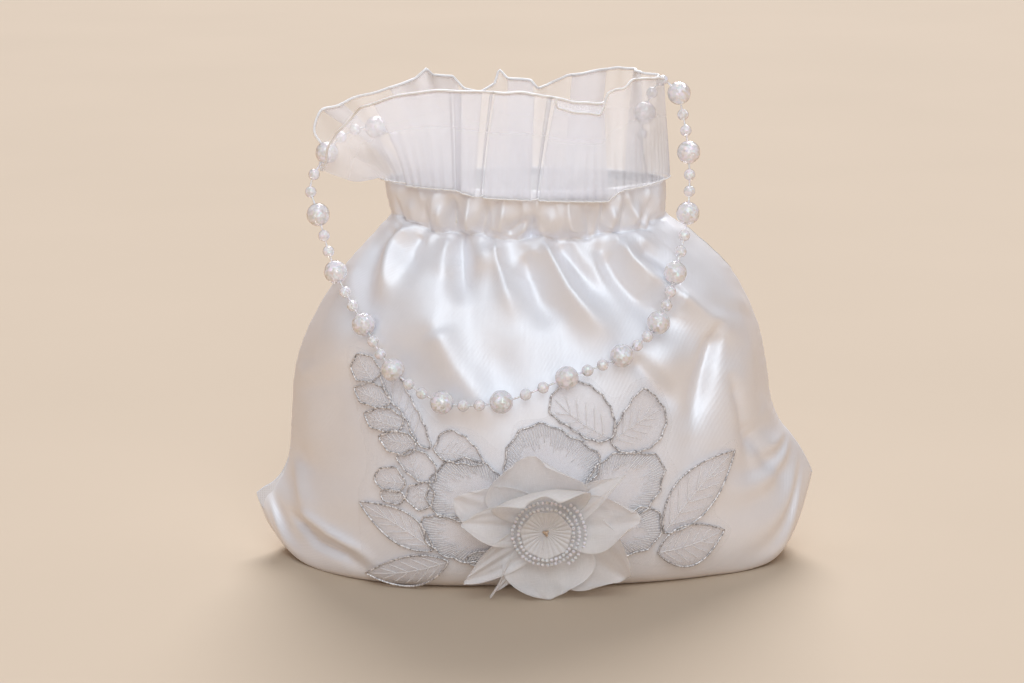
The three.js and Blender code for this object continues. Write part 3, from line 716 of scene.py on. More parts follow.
# ---- Inside of the bag: lining, casing tape, elastic and anchor tabs ----
def panel_band(points, rows, inset, thickness):
    """Closed sheet that follows a satin panel from one row to another, moved inwards, with its UVs."""
    rows = slice(int(PANEL_ROWS * rows[0]), int(PANEL_ROWS * rows[1]) + 1)
    normals = grid_normals(points)[rows]
    band = points[rows] - normals * inset
    half_gap = 0.4
    side = np.sign(band[len(band) // 2, band.shape[1] // 2, 1])
    band[..., 1] = side * np.maximum(side * band[..., 1], half_gap + thickness)
    verts, faces = thick_sheet(band[:, ::2], normals[:, ::2], thickness)
    return verts, faces, np.stack([verts[:, 0], verts[:, 2] + verts[:, 1]], 1) * MM


for side_name, points in [("front", front_points), ("back", back_points)]:
    verts, faces, uv = panel_band(points, (0, 0.86), CLOTH + 0.9, 0.35)
    link(f"lining_{side_name}", verts, faces, lining_cloth, nodes=(f"{side_name}_lining",), slot="lining",
         uvs=uv)
    verts, faces, uv = panel_band(points, (0.865, 0.985), CLOTH + 2.4, 0.4)
    link(f"casing_tape_in_{side_name}", verts, faces, tape_cloth, nodes=(f"casing_tape_{side_name}",),
         slot="lining", uvs=uv)


def neck_ring(angle, v, inset):
    """Points round the neck."""
    across = np.cos(angle)
    front = bag_points(-1, across, np.full_like(across, v), inset)
    back = bag_points(1, across, np.full_like(across, v), inset)
    return np.where((np.sin(angle) < 0)[..., None], front, back)


turn = circle(480)
levels = np.linspace(121.5, 129, 11)
ribs = 0.10 * np.cos(160 * turn) + 0.25 * np.sin(23 * turn)
elastic_points = []
for level in levels:
    ring = neck_ring(turn, 11 / 12, 2.1)
    outward = ring * [1, 1, 0] / np.linalg.norm(ring * [1, 1, 0], axis=1, keepdims=True)
    ring = ring + outward * ribs[:, None]
    ring[:, 2] = level
    elastic_points.append(ring)
elastic_points = np.array(elastic_points)
verts, faces = thick_sheet(elastic_points, grid_normals(elastic_points, True), 0.7, True)
uv = np.stack([np.tile(turn, 2 * len(levels)) * 0.03, verts[:, 2] * MM], 1)
link("elastic_band", verts, faces, elastic_cloth, nodes=("neck_elastic",), slot="elastic", uvs=uv)

for side_name in ("left", "right"):
    low, high = ((np.array(corner) - shift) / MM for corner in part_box(f"anchor_tab_{side_name}"))
    middle, half = (low + high) / 2, (high - low) / 2
    around = circle(32)
    up = np.linspace(-1, 1, 15)
    shape = []
    for level in up:
        narrow = 1 - 0.10 * level**8
        x = np.sign(np.cos(around)) * np.abs(np.cos(around)) ** 0.5 * half[0] * (1 - 0.35 * level**10)
        y = np.sign(np.sin(around)) * np.abs(np.sin(around)) ** 0.3 * half[1] * narrow
        shape.append(middle + np.stack([x, y, np.full_like(x, level * half[2])], 1))
    shape = np.array(shape)
    verts = shape.reshape(-1, 3)
    faces = grid_faces(32, len(up) - 1, True).tolist() + end_caps(32, len(up))
    uv = verts[:, 1:] * MM
    link(f"anchor_loop_{side_name}", verts, faces, tape_cloth, nodes=(f"anchor_tab_{side_name}",), uvs=uv)


# ---- Organza ruffle: one gathered band whose knife pleats lie three layers deep ----
RIM = [
    (-73, 1, 136.5), (-67, -11, 153.3), (-47.5, -22, 166), (-22, -28, 168.6), (0, -28.5, 167.6),
    (22, -26, 164.0), (35, -17, 167.2), (42.5, -7, 168.2), (45, 0, 166.5), (42.5, 8, 168.4),
    (35, 17, 169.8), (21, 26, 168), (0, 27, 164), (-23, 26, 162), (-52.7, 19, 162.2), (-74.4, 12, 153),
]
# Height of the rim on the right and at the back, by the share of the way round: peaks, a curl and dips.
RIM_HEIGHT = [
    (0.330, 163.9), (0.338, 164.8), (0.344, 167.2), (0.354, 169.6), (0.37, 170.6), (0.40, 170.8),
    (0.44, 170.4), (0.47, 169.2), (0.50, 167.4), (0.53, 167.4), (0.5625, 168.4), (0.608, 169.6),
    (0.655, 169.6), (0.716, 166.2), (0.736, 162.4), (0.745, 161.8), (0.752, 164.6), (0.776, 165.2),
    (0.784, 168.0), (0.788, 163.2), (0.802, 160.6), (0.815, 161.4), (0.823, 165.6), (0.838, 166.6),
    (0.843, 169.2), (0.850, 165.8), (0.875, 162.4), (0.90, 159.0),
]
# How the pleats lean: share of the way round at the foot, and at the rim.
LEAN_FOOT = [0, 0.098, 0.165, 0.188, 0.198, 0.246, 0.256, 0.338, 0.40, 0.5, 1]
LEAN_RIM = [0, 0.108, 0.172, 0.199, 0.213, 0.249, 0.271, 0.318, 0.385, 0.5, 1]
# Start and end of each knife pleat, as the share of the way round from the left seam.
PLEATS = [
    (0.098, 0.165), (0.168, 0.188), (0.198, 0.246), (0.256, 0.338),
    (0.60, 0.63), (0.67, 0.71), (0.75, 0.775), (0.82, 0.87), (0.91, 0.93),
]
LAYER = 0.36  # millimetres between the layers of a pleat
# Waves of the rim: share of the way round, width and push outwards.
RIM_WAVES = [(0.843, 0.006, -3.0), (0.783, 0.006, 3.0), (0.745, 0.008, -3.0), (0.82, 0.010, 2.5)]
# Height of the hem by the share of the way round.
HEM_S = [0, 0.06, 0.09, 0.165, 0.19, 0.25, 0.34, 0.36, 0.45, 0.55, 0.65, 0.75, 0.85, 0.95, 1]
HEM_Z = [134.5, 134.5, 134.8, 134.6, 132.5, 131.8, 130.6, 133.5, 135, 135, 133, 132, 132.5, 134.5, 134.5]


def band_path(step=0.0018):
    """Place round the neck and layer at each step along the band, over every pleat's folds."""
    corners = [(0.0, 0.0)]
    for start, end in PLEATS:
        corners += [(start - 0.004, 0.0), (end, 0.0), (end + 0.0006, 0.5), (end, 1.0), (start, 1.0)]
        corners += [(start - 0.0006, 1.5), (start, 2.0), (end, 2.0), (end + 0.008, 0.6)]
    corners.append((1.0, 0.0))
    place, layer = [], []
    for (a, la), (b, lb) in zip(corners[:-1], corners[1:]):
        count = max(2, int(math.ceil(abs(b - a) / step)))
        share = np.arange(count) / count
        place.append(a + (b - a) * share)
        layer.append(la + (lb - la) * share)
    return np.concatenate(place), np.concatenate(layer)


def ruffle_points(place, layer, rows=34):
    """Points of the ruffle, row by row from the hem to the rim."""
    angle = np.pi + 2 * np.pi * place
    foot = neck_ring(angle, 1.0, -1.7)
    foot[:, 2] = np.interp(place, HEM_S, HEM_Z) - 0.35 * layer
    lean = np.interp(place, LEAN_FOOT, LEAN_RIM)
    rim = spline(RIM, lean, closed=True)
    height = np.interp(place, *np.transpose(RIM_HEIGHT))
    rim[:, 2] += (height - rim[:, 2]) * smooth((place - 0.335) / 0.01) * smooth((0.90 - place) / 0.03)
    around = spline(RIM, lean + 1e-3, closed=True) - spline(RIM, lean - 1e-3, closed=True)
    outward = np.cross(around, [0, 0, 1.0])
    outward /= np.linalg.norm(outward, axis=1, keepdims=True)
    at_bead = np.exp(-(np.minimum(place, 1 - place) / 0.03) ** 2)
    at_right = np.exp(-(((place - 0.47) / 0.08) ** 4))
    calm = 1 - 0.75 * at_bead - 0.85 * at_right
    front = smooth((place - 0.07) / 0.04) * smooth((0.37 - place) / 0.04)
    calm = calm * (1 - 0.75 * front)
    lip = np.exp(-((np.minimum(place, 1 - place) / 0.075) ** 2))
    turns = 2 * np.pi * place
    wave = 1.5 * np.sin(11 * turns + 0.6) + 1.0 * np.sin(19 * turns + 2.0) + 0.5 * np.sin(37 * turns)
    lift = 0.9 * np.sin(13 * turns + 1.0) + 0.5 * np.sin(27 * turns + 0.4)
    lift = lift * (1 - smooth((place - 0.5) / 0.05) * smooth((0.93 - place) / 0.04))
    for spot, width, push in RIM_WAVES:
        wave = wave + push * np.exp(-(((place - spot) / width) ** 2))
    fine = 0.5 * (1 - 0.9 * at_right) * np.sin(64 * turns + 1.5 * np.sin(9 * turns))
    fine = fine + 0.5 * np.sin(97 * turns + 2)
    drop = np.interp(place, [0.25, 0.257, 0.33, 0.345], [0, 3.2, 3.6, 0]) * np.clip(layer - 1, 0, 1)
    out = []
    for t in np.linspace(0, 1, rows + 1):
        flare = t**1.25
        point = foot * [1, 1, 0] + (rim - foot) * [1, 1, 0] * flare
        height = foot[:, 2] + (rim[:, 2] - foot[:, 2]) * t
        height = height + (2.6 * lip - 5.2 * at_bead) * np.sin(np.pi * t) ** 1.2
        point = point + outward * (wave * calm * t**1.4 + 0.42 * fine * (1 - t) ** 2.2)[:, None]
        point = point + outward * (layer * LAYER * (1 - 0.35 * t))[:, None]
        crumple = 1.3 * np.sin(30 * turns + 5 * t) + 0.8 * np.sin(52 * turns - 7 * t)
        crumple = lip * calm * np.sin(np.pi * t) * crumple
        point[:, 2] = height + lift * calm * t**2 + crumple - drop * t**2
        out.append(point)
    return np.array(out)


ORGANZA = 0.12  # thickness
ruffle = ruffle_points(*band_path())
verts, faces = thick_sheet(ruffle, grid_normals(ruffle, True), ORGANZA, True)
run = np.concatenate([[0], np.cumsum(np.linalg.norm(np.diff(ruffle[0], axis=0), axis=1))])
rise = np.linspace(0, 34, len(ruffle))
uv = np.stack([np.tile(run, len(ruffle)), np.repeat(rise, len(run))], 1) * MM
link("ruffle_band", verts, faces, organza, nodes=("organza_ruffle",), slot="organza",
     uvs=np.vstack([uv, uv]))
link("ruffle_rim_cord", *tube(ruffle[-1], 0.45, 8, True), hem_thread, slot="organza")
link("ruffle_hem_cord", *tube(ruffle[0], 0.28, 6, True), hem_thread, slot="organza")

# ---- Handle: crackle beads on a thread, with pairs of small beads between them ----
GUIDE = LEFT_RIM_BEAD + np.array([-5.5, -4.5, -10.3])
TAIL_LEFT = [
    (-42.7, 0, 133.5), (-46, 0, 146), (-53, 0.3, 151.5), (-60, 0.7, 151.5), (-66.5, 1.1, 148.3),
    bead_centres[0],
]
TAIL_RIGHT = [(39.8, 0, 133.5), (37.5, -1, 148), (39, -2, 160), (44, -2.5, 168.5), bead_centres[13]]
PAIR = (0.365, 0.635)  # places of the two small beads between large ones
TAIL_CLEAR = 3.8  # gap between the end of a tail's thread and the centre of its rim bead
RIM_CLEAR = 4.15  # the same gap on the strand, which swings past the rim bead
TAIL_PITCH = 20.5
RIM_BEADS = (0, 13)


class Path:
    """A spline measured along its length."""

    def __init__(self, points, samples=4000):
        self.points = spline(points, np.linspace(0, 1, samples))
        step = np.linalg.norm(np.diff(self.points, axis=0), axis=1)
        self.distance = np.concatenate([[0], np.cumsum(step)])
        self.length = self.distance[-1]

    def at(self, d):
        return np.stack([np.interp(d, self.distance, self.points[:, k]) for k in range(3)], -1)

    def along(self, d):
        direction = self.at(np.minimum(d + 0.2, self.length)) - self.at(np.maximum(d - 0.2, 0))
        return direction / np.linalg.norm(direction)

    def nearest(self, point):
        return self.distance[np.argmin(np.linalg.norm(self.points - point, axis=1))]


def bead(centre, axis, radius=4.0, bore=0.9, rings=22, turns=30):
    """A sphere with a bore along the axis, its surface slightly uneven like pressed glass."""
    mouth = math.asin(bore / radius)
    polar = np.linspace(mouth, np.pi - mouth, rings)
    r, h = radius * np.sin(polar), radius * np.cos(polar)
    r = np.concatenate([r, [bore * 0.92, bore * 0.92]])
    h = np.concatenate([h, [h[-1] * 0.97, h[0] * 0.97]])
    angle = np.arange(turns) / turns * 2 * np.pi
    a = np.array(Vector(axis).orthogonal().normalized())
    b = np.cross(axis, a)
    dent = 1 + 0.008 * np.sin(5 * angle[None] + 9 * h[:, None] / radius + centre[0])
    ring = a * np.cos(angle)[:, None] + b * np.sin(angle)[:, None]
    verts = centre + ring[None] * (r[:, None] * dent)[..., None] + np.asarray(axis) * h[:, None, None]
    count = len(r)
    j, i = np.meshgrid(np.arange(count), np.arange(turns), indexing="ij")
    j2, i2 = (j + 1) % count, (i + 1) % turns
    faces = np.stack([j * turns + i, j2 * turns + i, j2 * turns + i2, j * turns + i2], -1)
    return verts.reshape(-1, 3), faces.reshape(-1, 4)


def strand(path, start, stop, small, thread=0.34, radius=2.0):
    """Thread with small beads moulded on it."""
    bare = [d for d in np.arange(start, stop, 0.8) if all(abs(d - c) > radius for c in small)]
    stations = [(d, thread) for d in bare]
    stations += [(stop, thread)]
    for c in small:
        for polar in np.linspace(-1.40, 1.40, 15):
            stations.append((c + radius * math.sin(polar), max(thread, radius * math.cos(polar))))
    stations.sort()
    d = np.array([s[0] for s in stations])
    return tube(path.at(d), np.array([s[1] for s in stations]), 20)


handle_path = Path([bead_centres[0], GUIDE, *bead_centres[1:]])
stops = [handle_path.nearest(centre) for centre in bead_centres]
for k, (name, centre, d) in enumerate(zip(HANDLE_BEADS, bead_centres, stops)):
    body = "bag" if k in RIM_BEADS else "handle"
    link(f"crackle_bead_{k:02d}", *bead(centre, handle_path.along(d)), bead_clear, body, (name,), "crystal")
small = [a + (b - a) * share for a, b in zip(stops[:-1], stops[1:]) for share in PAIR]
verts, faces = strand(handle_path, RIM_CLEAR, handle_path.length - RIM_CLEAR, small)
link("handle_strand", verts, faces, bead_small, "handle", ("handle_thread",), "thread")
for side_name, points in [("left", TAIL_LEFT), ("right", TAIL_RIGHT)]:
    path = Path(points)
    middle = path.length - TAIL_PITCH
    spots = [middle - PAIR[0] * TAIL_PITCH] + [middle + share * TAIL_PITCH for share in PAIR]
    verts, faces = strand(path, 0, path.length - TAIL_CLEAR, spots)
    thread, bead_node = f"tail_thread_{side_name}", f"tail_bead_{side_name}"
    link(f"tail_strand_{side_name}", verts, faces, bead_small, "bag", (thread,), "thread")
    verts, faces = bead(path.at(middle), path.along(middle))
    link(f"tail_crackle_bead_{side_name}", verts, faces, bead_clear, "bag", (bead_node,), "crystal")

# ---- Lace: corded motifs and their net, laid over the satin ----
LATTICE = 1.0  # step of the map of the satin's surface that the lace is laid on
lattice_x = np.arange(-72, 80, LATTICE)
lattice_z = np.arange(0.5, 84, LATTICE)
front_tree = BVHTree.FromPolygons(
    front_points.reshape(-1, 3).tolist(), grid_faces(PANEL_COLUMNS, PANEL_ROWS).tolist(),
)
relief_map = np.full((len(lattice_z), len(lattice_x)), -40.0)
for j, level in enumerate(lattice_z):
    for i, x in enumerate(lattice_x):
        hit = front_tree.ray_cast(Vector((x, -120, level)), Vector((0, 1, 0)))[0]
        relief_map[j, i] = hit.y if hit else relief_map[j - 1, i]


def blurred(field, times):
    """The field after repeated averaging with its neighbours."""
    for _ in range(times):
        padded = np.pad(field, 1, mode="edge")
        around = padded[1:-1, :-2] + padded[1:-1, 2:] + padded[:-2, 1:-1] + padded[2:, 1:-1]
        field = 0.5 * field + 0.125 * around
    return field


padded = np.pad(relief_map, 1, mode="edge")
high, wide = relief_map.shape
proud = np.min([padded[b:b + high, a:a + wide] for a in range(3) for b in range(3)], 0)
lace_map = blurred(proud, 3)
slope_z, slope_x = np.gradient(lace_map, LATTICE)


def sample(field, x, z):
    """The field of the lattice at points between its nodes."""
    a = np.clip((x - lattice_x[0]) / LATTICE, 0, len(lattice_x) - 1.001)
    b = np.clip((z - lattice_z[0]) / LATTICE, 0, len(lattice_z) - 1.001)
    i, j = a.astype(int), b.astype(int)
    s, t = a - i, b - j
    low = field[j, i] * (1 - s) + field[j, i + 1] * s
    high = field[j + 1, i] * (1 - s) + field[j + 1, i + 1] * s
    return low * (1 - t) + high * t


def on_satin(xz, out):
    """Points laid on the front satin, a distance out from it."""
    xz = np.asarray(xz, float)
    x, z = xz[..., 0], xz[..., 1]
    normal = np.stack([sample(slope_x, x, z), -np.ones_like(x), sample(slope_z, x, z)], -1)
    normal /= np.linalg.norm(normal, axis=-1, keepdims=True)
    return np.stack([x, sample(lace_map, x, z), z], -1) + normal * np.asarray(out)[..., None]


def inside(points, outline):
    """Which points are within the closed outline."""
    x, z = points[:, 0], points[:, 1]
    found = np.zeros(len(points), bool)
    for (x1, z1), (x2, z2) in zip(outline, np.roll(outline, -1, 0)):
        crosses = (z1 > z) != (z2 > z)
        at = x1 + (z - z1) * (x2 - x1) / (z2 - z1 if z2 != z1 else 1e-9)
        found ^= crosses & (x < at)
    return found


def patch(outline, step, out, thickness=0.16):
    """A thin closed body over an outline, laid on the satin."""
    outline = np.asarray(outline, float)
    x = np.arange(outline[:, 0].min(), outline[:, 0].max(), step)
    z = np.arange(outline[:, 1].min(), outline[:, 1].max(), step * 0.87)
    points = np.stack(np.meshgrid(x, z), -1)
    points[1::2, :, 0] += step / 2
    points = points.reshape(-1, 2)
    points = points[inside(points, outline)]
    gap = np.min(np.linalg.norm(points[:, None] - outline[None], axis=2), axis=1)
    points = points[gap > step * 0.45]
    count = len(outline)
    edges = [(i, (i + 1) % count) for i in range(count)]
    found = delaunay_2d_cdt([Vector(p) for p in np.vstack([outline, points])], edges, [], 1, 1e-5)
    flat = np.array([tuple(p) for p in found[0]])
    triangles = [tuple(f) for f in found[2]]
    a, b, c = (flat[triangles[0][k]] for k in range(3))
    if (b[0] - a[0]) * (c[1] - a[1]) - (b[1] - a[1]) * (c[0] - a[0]) < 0:
        triangles = [t[::-1] for t in triangles]
    top = on_satin(flat, np.full(len(flat), out + thickness))
    bottom = on_satin(flat, np.full(len(flat), out))
    n = len(flat)
    sides = {(t[k], t[(k + 1) % 3]): True for t in triangles for k in range(3)}
    walls = [(i, i + n, j + n, j) for i, j in sides if (j, i) not in sides]
    faces = triangles + [tuple(i + n for i in t[::-1]) for t in triangles] + walls
    return np.vstack([top, bottom]), faces


def rounded(points, count=90):
    """A smooth closed outline through the points."""
    loop = spline(points, np.linspace(0, 1, count * 4, endpoint=False), closed=True)
    return resample(loop, np.linalg.norm(np.diff(loop, axis=0), axis=1).sum() / count, closed=True)


def scalloped(outline, depth=0.4, pitch=5.0):
    """The outline with shallow scallops."""
    length = np.linalg.norm(outline - np.roll(outline, 1, 0), axis=1).sum()
    waves = max(3, round(length / pitch))
    along = np.roll(outline, -1, 0) - np.roll(outline, 1, 0)
    normal = np.stack([along[:, 1], -along[:, 0]], 1) / np.linalg.norm(along, axis=1, keepdims=True)
    place = np.arange(len(outline)) / len(outline)
    swell = depth * (np.abs(np.sin(np.pi * waves * place)) - 0.6)
    swell = swell + 0.3 * depth * np.sin(2 * np.pi * 3 * place + 1)
    return outline + normal * swell[:, None]


def leaf_axes(base, tip):
    """A leaf's base, the vector to its tip, and the direction across."""
    base = np.asarray(base, float)
    axis = np.asarray(tip, float) - base
    return base, axis, np.array([-axis[1], axis[0]]) / np.linalg.norm(axis)


def leaf(base, tip, width, bend):
    """A pointed leaf outline with a curved spine."""
    base, axis, across = leaf_axes(base, tip)
    t = np.linspace(0, 1, 41)
    spine = base + axis * t[:, None] + across * (bend * np.sin(np.pi * t))[:, None]
    bulge = width * np.sin(np.pi * t**0.85) ** 0.9
    right = spine - across * bulge[:, None]
    left = spine + across * bulge[:, None]
    return np.vstack([right[:-1], left[:0:-1]])


def veins(base, tip, width, bend, pairs):
    """Centre vein and side veins of a leaf, as lines of points."""
    base, axis, across = leaf_axes(base, tip)
    t = np.linspace(0.02, 0.94, 30)
    lines = [base + axis * t[:, None] + across * (bend * np.sin(np.pi * t))[:, None]]
    for k in range(pairs):
        root = 0.10 + 0.66 * k / pairs
        for sign in (-1, 1):
            q = np.linspace(0, 1, 10)
            reach = root + 0.20 * q
            side = sign * width * 0.82 * np.sin(np.pi * (root + 0.2) ** 0.85) * q**0.9
            side = bend * np.sin(np.pi * reach) + side
            lines.append(base + axis * reach[:, None] + across * side[:, None])
    return lines


HEART = np.array([4.0, 23.0])
# Outlines of the petals round the flower, and the loops and leaves further out.
LACE_PETALS = {
    "lace_petal_top": [[
        (-10, 44), (-8.5, 52), (-3, 57.5), (4, 59), (11, 56), (18, 51.5), (22, 46), (17, 38), (4, 36),
        (-5, 38),
    ]],
    "lace_petal_upper_right": [[
        (21, 45), (27, 48.5), (35, 48), (42, 46), (44, 41), (41, 33), (33, 26), (26, 28), (20, 34),
        (18, 40),
    ]],
    "lace_petal_lower_right": [[(29, 27), (38, 29.5), (43, 25), (42, 18), (35, 14), (27, 14), (23, 20)]],
    "lace_petal_upper_left": [[
        (-18, 26), (-29, 27), (-35, 31), (-35.5, 38), (-32, 43.5), (-26, 46.5), (-18, 46.5), (-11, 42),
        (-8, 34),
    ]],
    "lace_petal_lower_left": [[
        (-14, 26), (-26, 27.5), (-36, 27), (-37, 21), (-33, 15), (-24, 12), (-13, 13),
    ]],
    "lace_petal_bottom": [[(-23, 13), (-18, 10), (-11, 7.5), (-5, 10), (-6, 16), (-14, 17)]],
}
LACE_LOOPS = {
    "lace_leaves_upper": [
        [(13, 57), (5.5, 63), (7.5, 70), (15, 72.5), (22, 68.5), (26.5, 62), (27, 56), (24, 53), (18, 54)],
        [(26, 53), (29, 60), (36, 69), (41, 65.5), (44.5, 58.5), (41.5, 51), (34, 48.5), (28, 50)],
    ],
    "lace_sprig_upper": [
        [(-62, 74), (-60, 78), (-55, 78), (-52, 73), (-55, 69.5), (-60, 70)],
        [(-52, 72), (-46.5, 73), (-42, 66), (-37, 58), (-35, 50), (-39.5, 52), (-44, 60), (-49, 65)],
        [(-60.5, 67), (-54, 69), (-48.5, 65.5), (-51, 61.5), (-58, 62.5)],
        [(-57, 59), (-50, 61.5), (-44, 59), (-46, 54.5), (-54, 54.5)],
        [(-52, 52), (-46, 54.5), (-40, 52.5), (-41.5, 47.5), (-48, 47.5)],
    ],
    "lace_sprig_leaf": [[
        (-33.5, 50), (-30, 55.5), (-24, 55), (-19, 50.5), (-17.5, 45.5), (-25, 45.5), (-31, 47),
    ]],
    "lace_sprig_lower": [
        [(-53, 40), (-52.5, 35.5), (-47, 34.5), (-43, 37), (-45.5, 41.5), (-49, 42.5)],
        [(-46, 46), (-40, 49), (-34, 46), (-33, 40), (-38, 38.5), (-43, 42)],
        [(-51.5, 33.8), (-50, 30.6), (-46, 30.6), (-43.2, 32.4), (-45.2, 34.6), (-49, 35)],
        [(-41.5, 37), (-35, 38), (-33.5, 33), (-38, 29), (-42.5, 32)],
    ],
}
LACE_LEAVES = {
    "lace_leaves_right": [((44, 20), (68.5, 45), 7.6, 1.2), ((42, 13), (65, 18), 7.6, -1.0)],
    "lace_leaves_left": [((-34, 15.5), (-59, 29), 5.6, -1.0), ((-29, 11.5), (-57, 4.6), 5.4, 1.2)],
}
LOOP_ROOTS = {
    "lace_leaves_upper": (26, 52), "lace_sprig_upper": (-38, 52), "lace_sprig_leaf": (-33, 48),
    "lace_sprig_lower": (-39, 38),
}
cords, stitches = [], []
LACE_OUT = 0.55  # height of the motifs over the satin


def add_motif(node, outlines):
    """The cloth of a motif as one piece, and a cord round each outline."""
    parts = [patch(outline, 1.6, LACE_OUT) for outline in outlines]
    verts, faces = merge(parts)
    link(f"{node}_cloth", verts, faces, motif_cloth, nodes=(node,), slot="lace", uvs=verts[:, [0, 2]] * MM)
    for outline in outlines:
        line = resample(outline, 0.33, closed=True)
        rise = 0.012 * np.sin(np.arange(len(line)) * 0.9)
        cords.append(tube(on_satin(line, LACE_OUT + 0.5 + rise), 0.44, 6, True, 0.42, 0.7))


def add_line(line, out, radius, sides=5):
    """A tapered stitch on the satin."""
    line = resample(line, 0.8)
    taper = np.clip(np.minimum(np.arange(len(line)), np.arange(len(line))[::-1]) / 2 + 0.35, 0, 1)
    stitches.append(tube(on_satin(line, np.full(len(line), out)), radius * taper, sides))


for node, outlines in LACE_PETALS.items():
    outlines = [scalloped(rounded(points, 110), 0.9, 7.0) for points in outlines]
    add_motif(node, outlines)
    for outline in outlines:
        for spot in resample(outline, 1.05, closed=True):
            inward = HEART - spot
            distance = np.linalg.norm(inward)
            middle = outline.mean(0) - spot
            inward = inward / distance * 0.6 + middle / np.linalg.norm(middle) * 0.4
            if inward @ middle > 0 and distance > 13:
                length = rng.uniform(4.0, 8.5)
                add_line([spot, spot + inward * length], LACE_OUT + 0.24, 0.15, 4)
for node, outlines in LACE_LOOPS.items():
    outlines = [scalloped(rounded(points), 0.5) for points in outlines]
    add_motif(node, outlines)
    for outline in outlines:
        root = outline[np.argmin(np.linalg.norm(outline - LOOP_ROOTS[node], axis=1))]
        far = outline[np.argmax(np.linalg.norm(outline - root, axis=1))]
        size = np.linalg.norm(far - root)
        for line in veins(root, far, 0.33 * size, 0.05 * size, 5 if size > 12 else 3):
            add_line(line, LACE_OUT + 0.26, 0.15)
for node, leaves in LACE_LEAVES.items():
    add_motif(node, [leaf(*shape) for shape in leaves])
    for base, tip, width, bend in leaves:
        for line in veins(base, tip, width, bend, 5 if width > 5 else 3):
            add_line(line, LACE_OUT + 0.26, 0.17)
link("lace_cords", *merge(cords), silver_cord, slot="lace")
link("lace_stitches", *merge(stitches), white_thread, slot="lace")

NET_OUTLINE = [
    (-64, 78), (-56, 79.5), (-46, 73), (-33, 59), (-21, 57), (-10, 50), (-6, 59.5), (5, 62), (8, 72),
    (18, 74),
    (27, 67), (35, 72.5), (42, 70), (47, 57), (45, 49), (49, 40), (49, 30), (66, 48), (70, 44),
    (62, 26), (68, 17), (58, 7.5), (40, 8), (22, 12.5), (-12, 12.5), (-20, 9), (-38, 4), (-56, 4),
    (-60, 30), (-57, 44),
]
verts, faces = patch(rounded(NET_OUTLINE, 260), 2.2, 0.22, 0.12)
link("lace_net", verts, faces, tulle, nodes=("lace_net_ground",), slot="lace",
     uvs=verts[:, [0, 2]] * MM)

# ---- Chiffon flower ----
FLOWER_TILT = 0.1
belly = bag_points(-1, 4 / 88, np.linspace(0.2, 0.4, 200))
flower_y = float(belly[np.argmin(np.abs(belly[:, 2] - HEART[1])), 1])
flower_at = np.array([HEART[0], flower_y - 2.4, HEART[1] + 1.6])


def in_flower(points):
    """Points of the flower's own frame, where -Y is outwards, in the design frame."""
    c, s = math.cos(FLOWER_TILT), math.sin(FLOWER_TILT)
    turned = np.asarray(points, float) @ np.array([[1, 0, 0], [0, c, s], [0, -s, c]])
    return turned + flower_at


def petal_sheet(degrees, reach, half_width, layer, point, cup, bend, twist, phase):
    """A petal: point sharpens its tip, cup rolls its edges out, bend lifts its tip and twist turns it."""
    columns, rows = 40, 34
    s = np.linspace(-1, 1, columns + 1)[None]
    t = np.linspace(0, 1, rows + 1)[:, None]
    round_width = np.sin(np.pi * (0.10 + 0.84 * t)) ** 0.6
    sharp_width = (t + 0.12) ** 0.6 * np.clip(1 - t, 0.02, 1) ** 0.75 * 1.75
    width = half_width * (round_width * (1 - point) + sharp_width * point)
    roll = np.maximum(cup * t**0.7 * (1 + 0.25 * np.sin(phase * 3 + 4 * t)), 0.05)
    side = width * np.sin(roll * s) / roll
    out = width * (1 - np.cos(roll * s)) / roll
    turn = twist * t**1.3
    side, out = side * np.cos(turn) - out * np.sin(turn), side * np.sin(turn) + out * np.cos(turn)
    out = out - np.minimum(out.min(axis=1, keepdims=True), 0)
    pitch = 0.06 + bend * t**1.6
    root = 3.5
    length = reach - root
    radius = root + length * np.concatenate([[[0]], np.cumsum(np.cos(pitch), 0)[:-1]]) / rows
    spine = length * np.concatenate([[[0]], np.cumsum(np.sin(pitch), 0)[:-1]]) / rows
    radius = radius - reach * t * (0.10 * s**2 * (1 - point) + 0.07 * s * np.sin(2 * phase + 1))
    share = np.hypot(radius, side) / 30
    out = out + layer * 0.95 + 0.4 + 2.2 * share**2 + spine
    out = out + 0.6 * np.abs(s) ** 2 * t * np.sin(9 * t + phase * 5 + 2 * s)
    out = out + 0.5 * t * np.sin(5.5 * s + phase * 3) + 0.30 * np.sin(13 * s + phase) * (1 - t) ** 0.5
    side = side + 0.9 * np.sin(phase * 7) * t**2
    angle = math.radians(90 - degrees)
    x = side * math.cos(angle) + radius * math.sin(angle)
    z = radius * math.cos(angle) - side * math.sin(angle)
    placed = in_flower(np.stack([x, -out, z], -1))
    placed[..., 2] = np.maximum(placed[..., 2], 0.3)  # the lowest petal rests on the table
    return placed


# Direction in degrees from +X, reach, half width, layer, point, cup, bend, twist and phase of each petal.
PETALS = [
    (157, 33, 11, 0, 0.0, 0.6, 0.12, 0.1, 0.3), (102, 30, 18, 1, 0.0, 0.8, 0.35, 0.30, 1.0),
    (43, 34, 7, 2, 0.85, 1.0, 0.22, 0.9, 2.0), (14, 33, 11, 2, 0.0, 1.7, 0.35, 0.55, 2.9),
    (-30, 32, 15, 0, 0.12, 0.6, 0.12, -0.3, 3.7), (-86, 24, 16, 1, 0.0, 0.4, 0.30, 0.1, 4.4),
    (-131, 29, 5, 1, 0.6, 1.4, 0.08, 1.1, 5.1), (170, 29, 9, 2, 0.55, 0.9, 0.25, -0.4, 5.9),
    (211, 31, 8, 3, 0.85, 0.7, 0.10, 0.3, 6.6), (99, 26, 17, 3, 0.0, 0.5, 1.9, -0.15, 7.3),
]
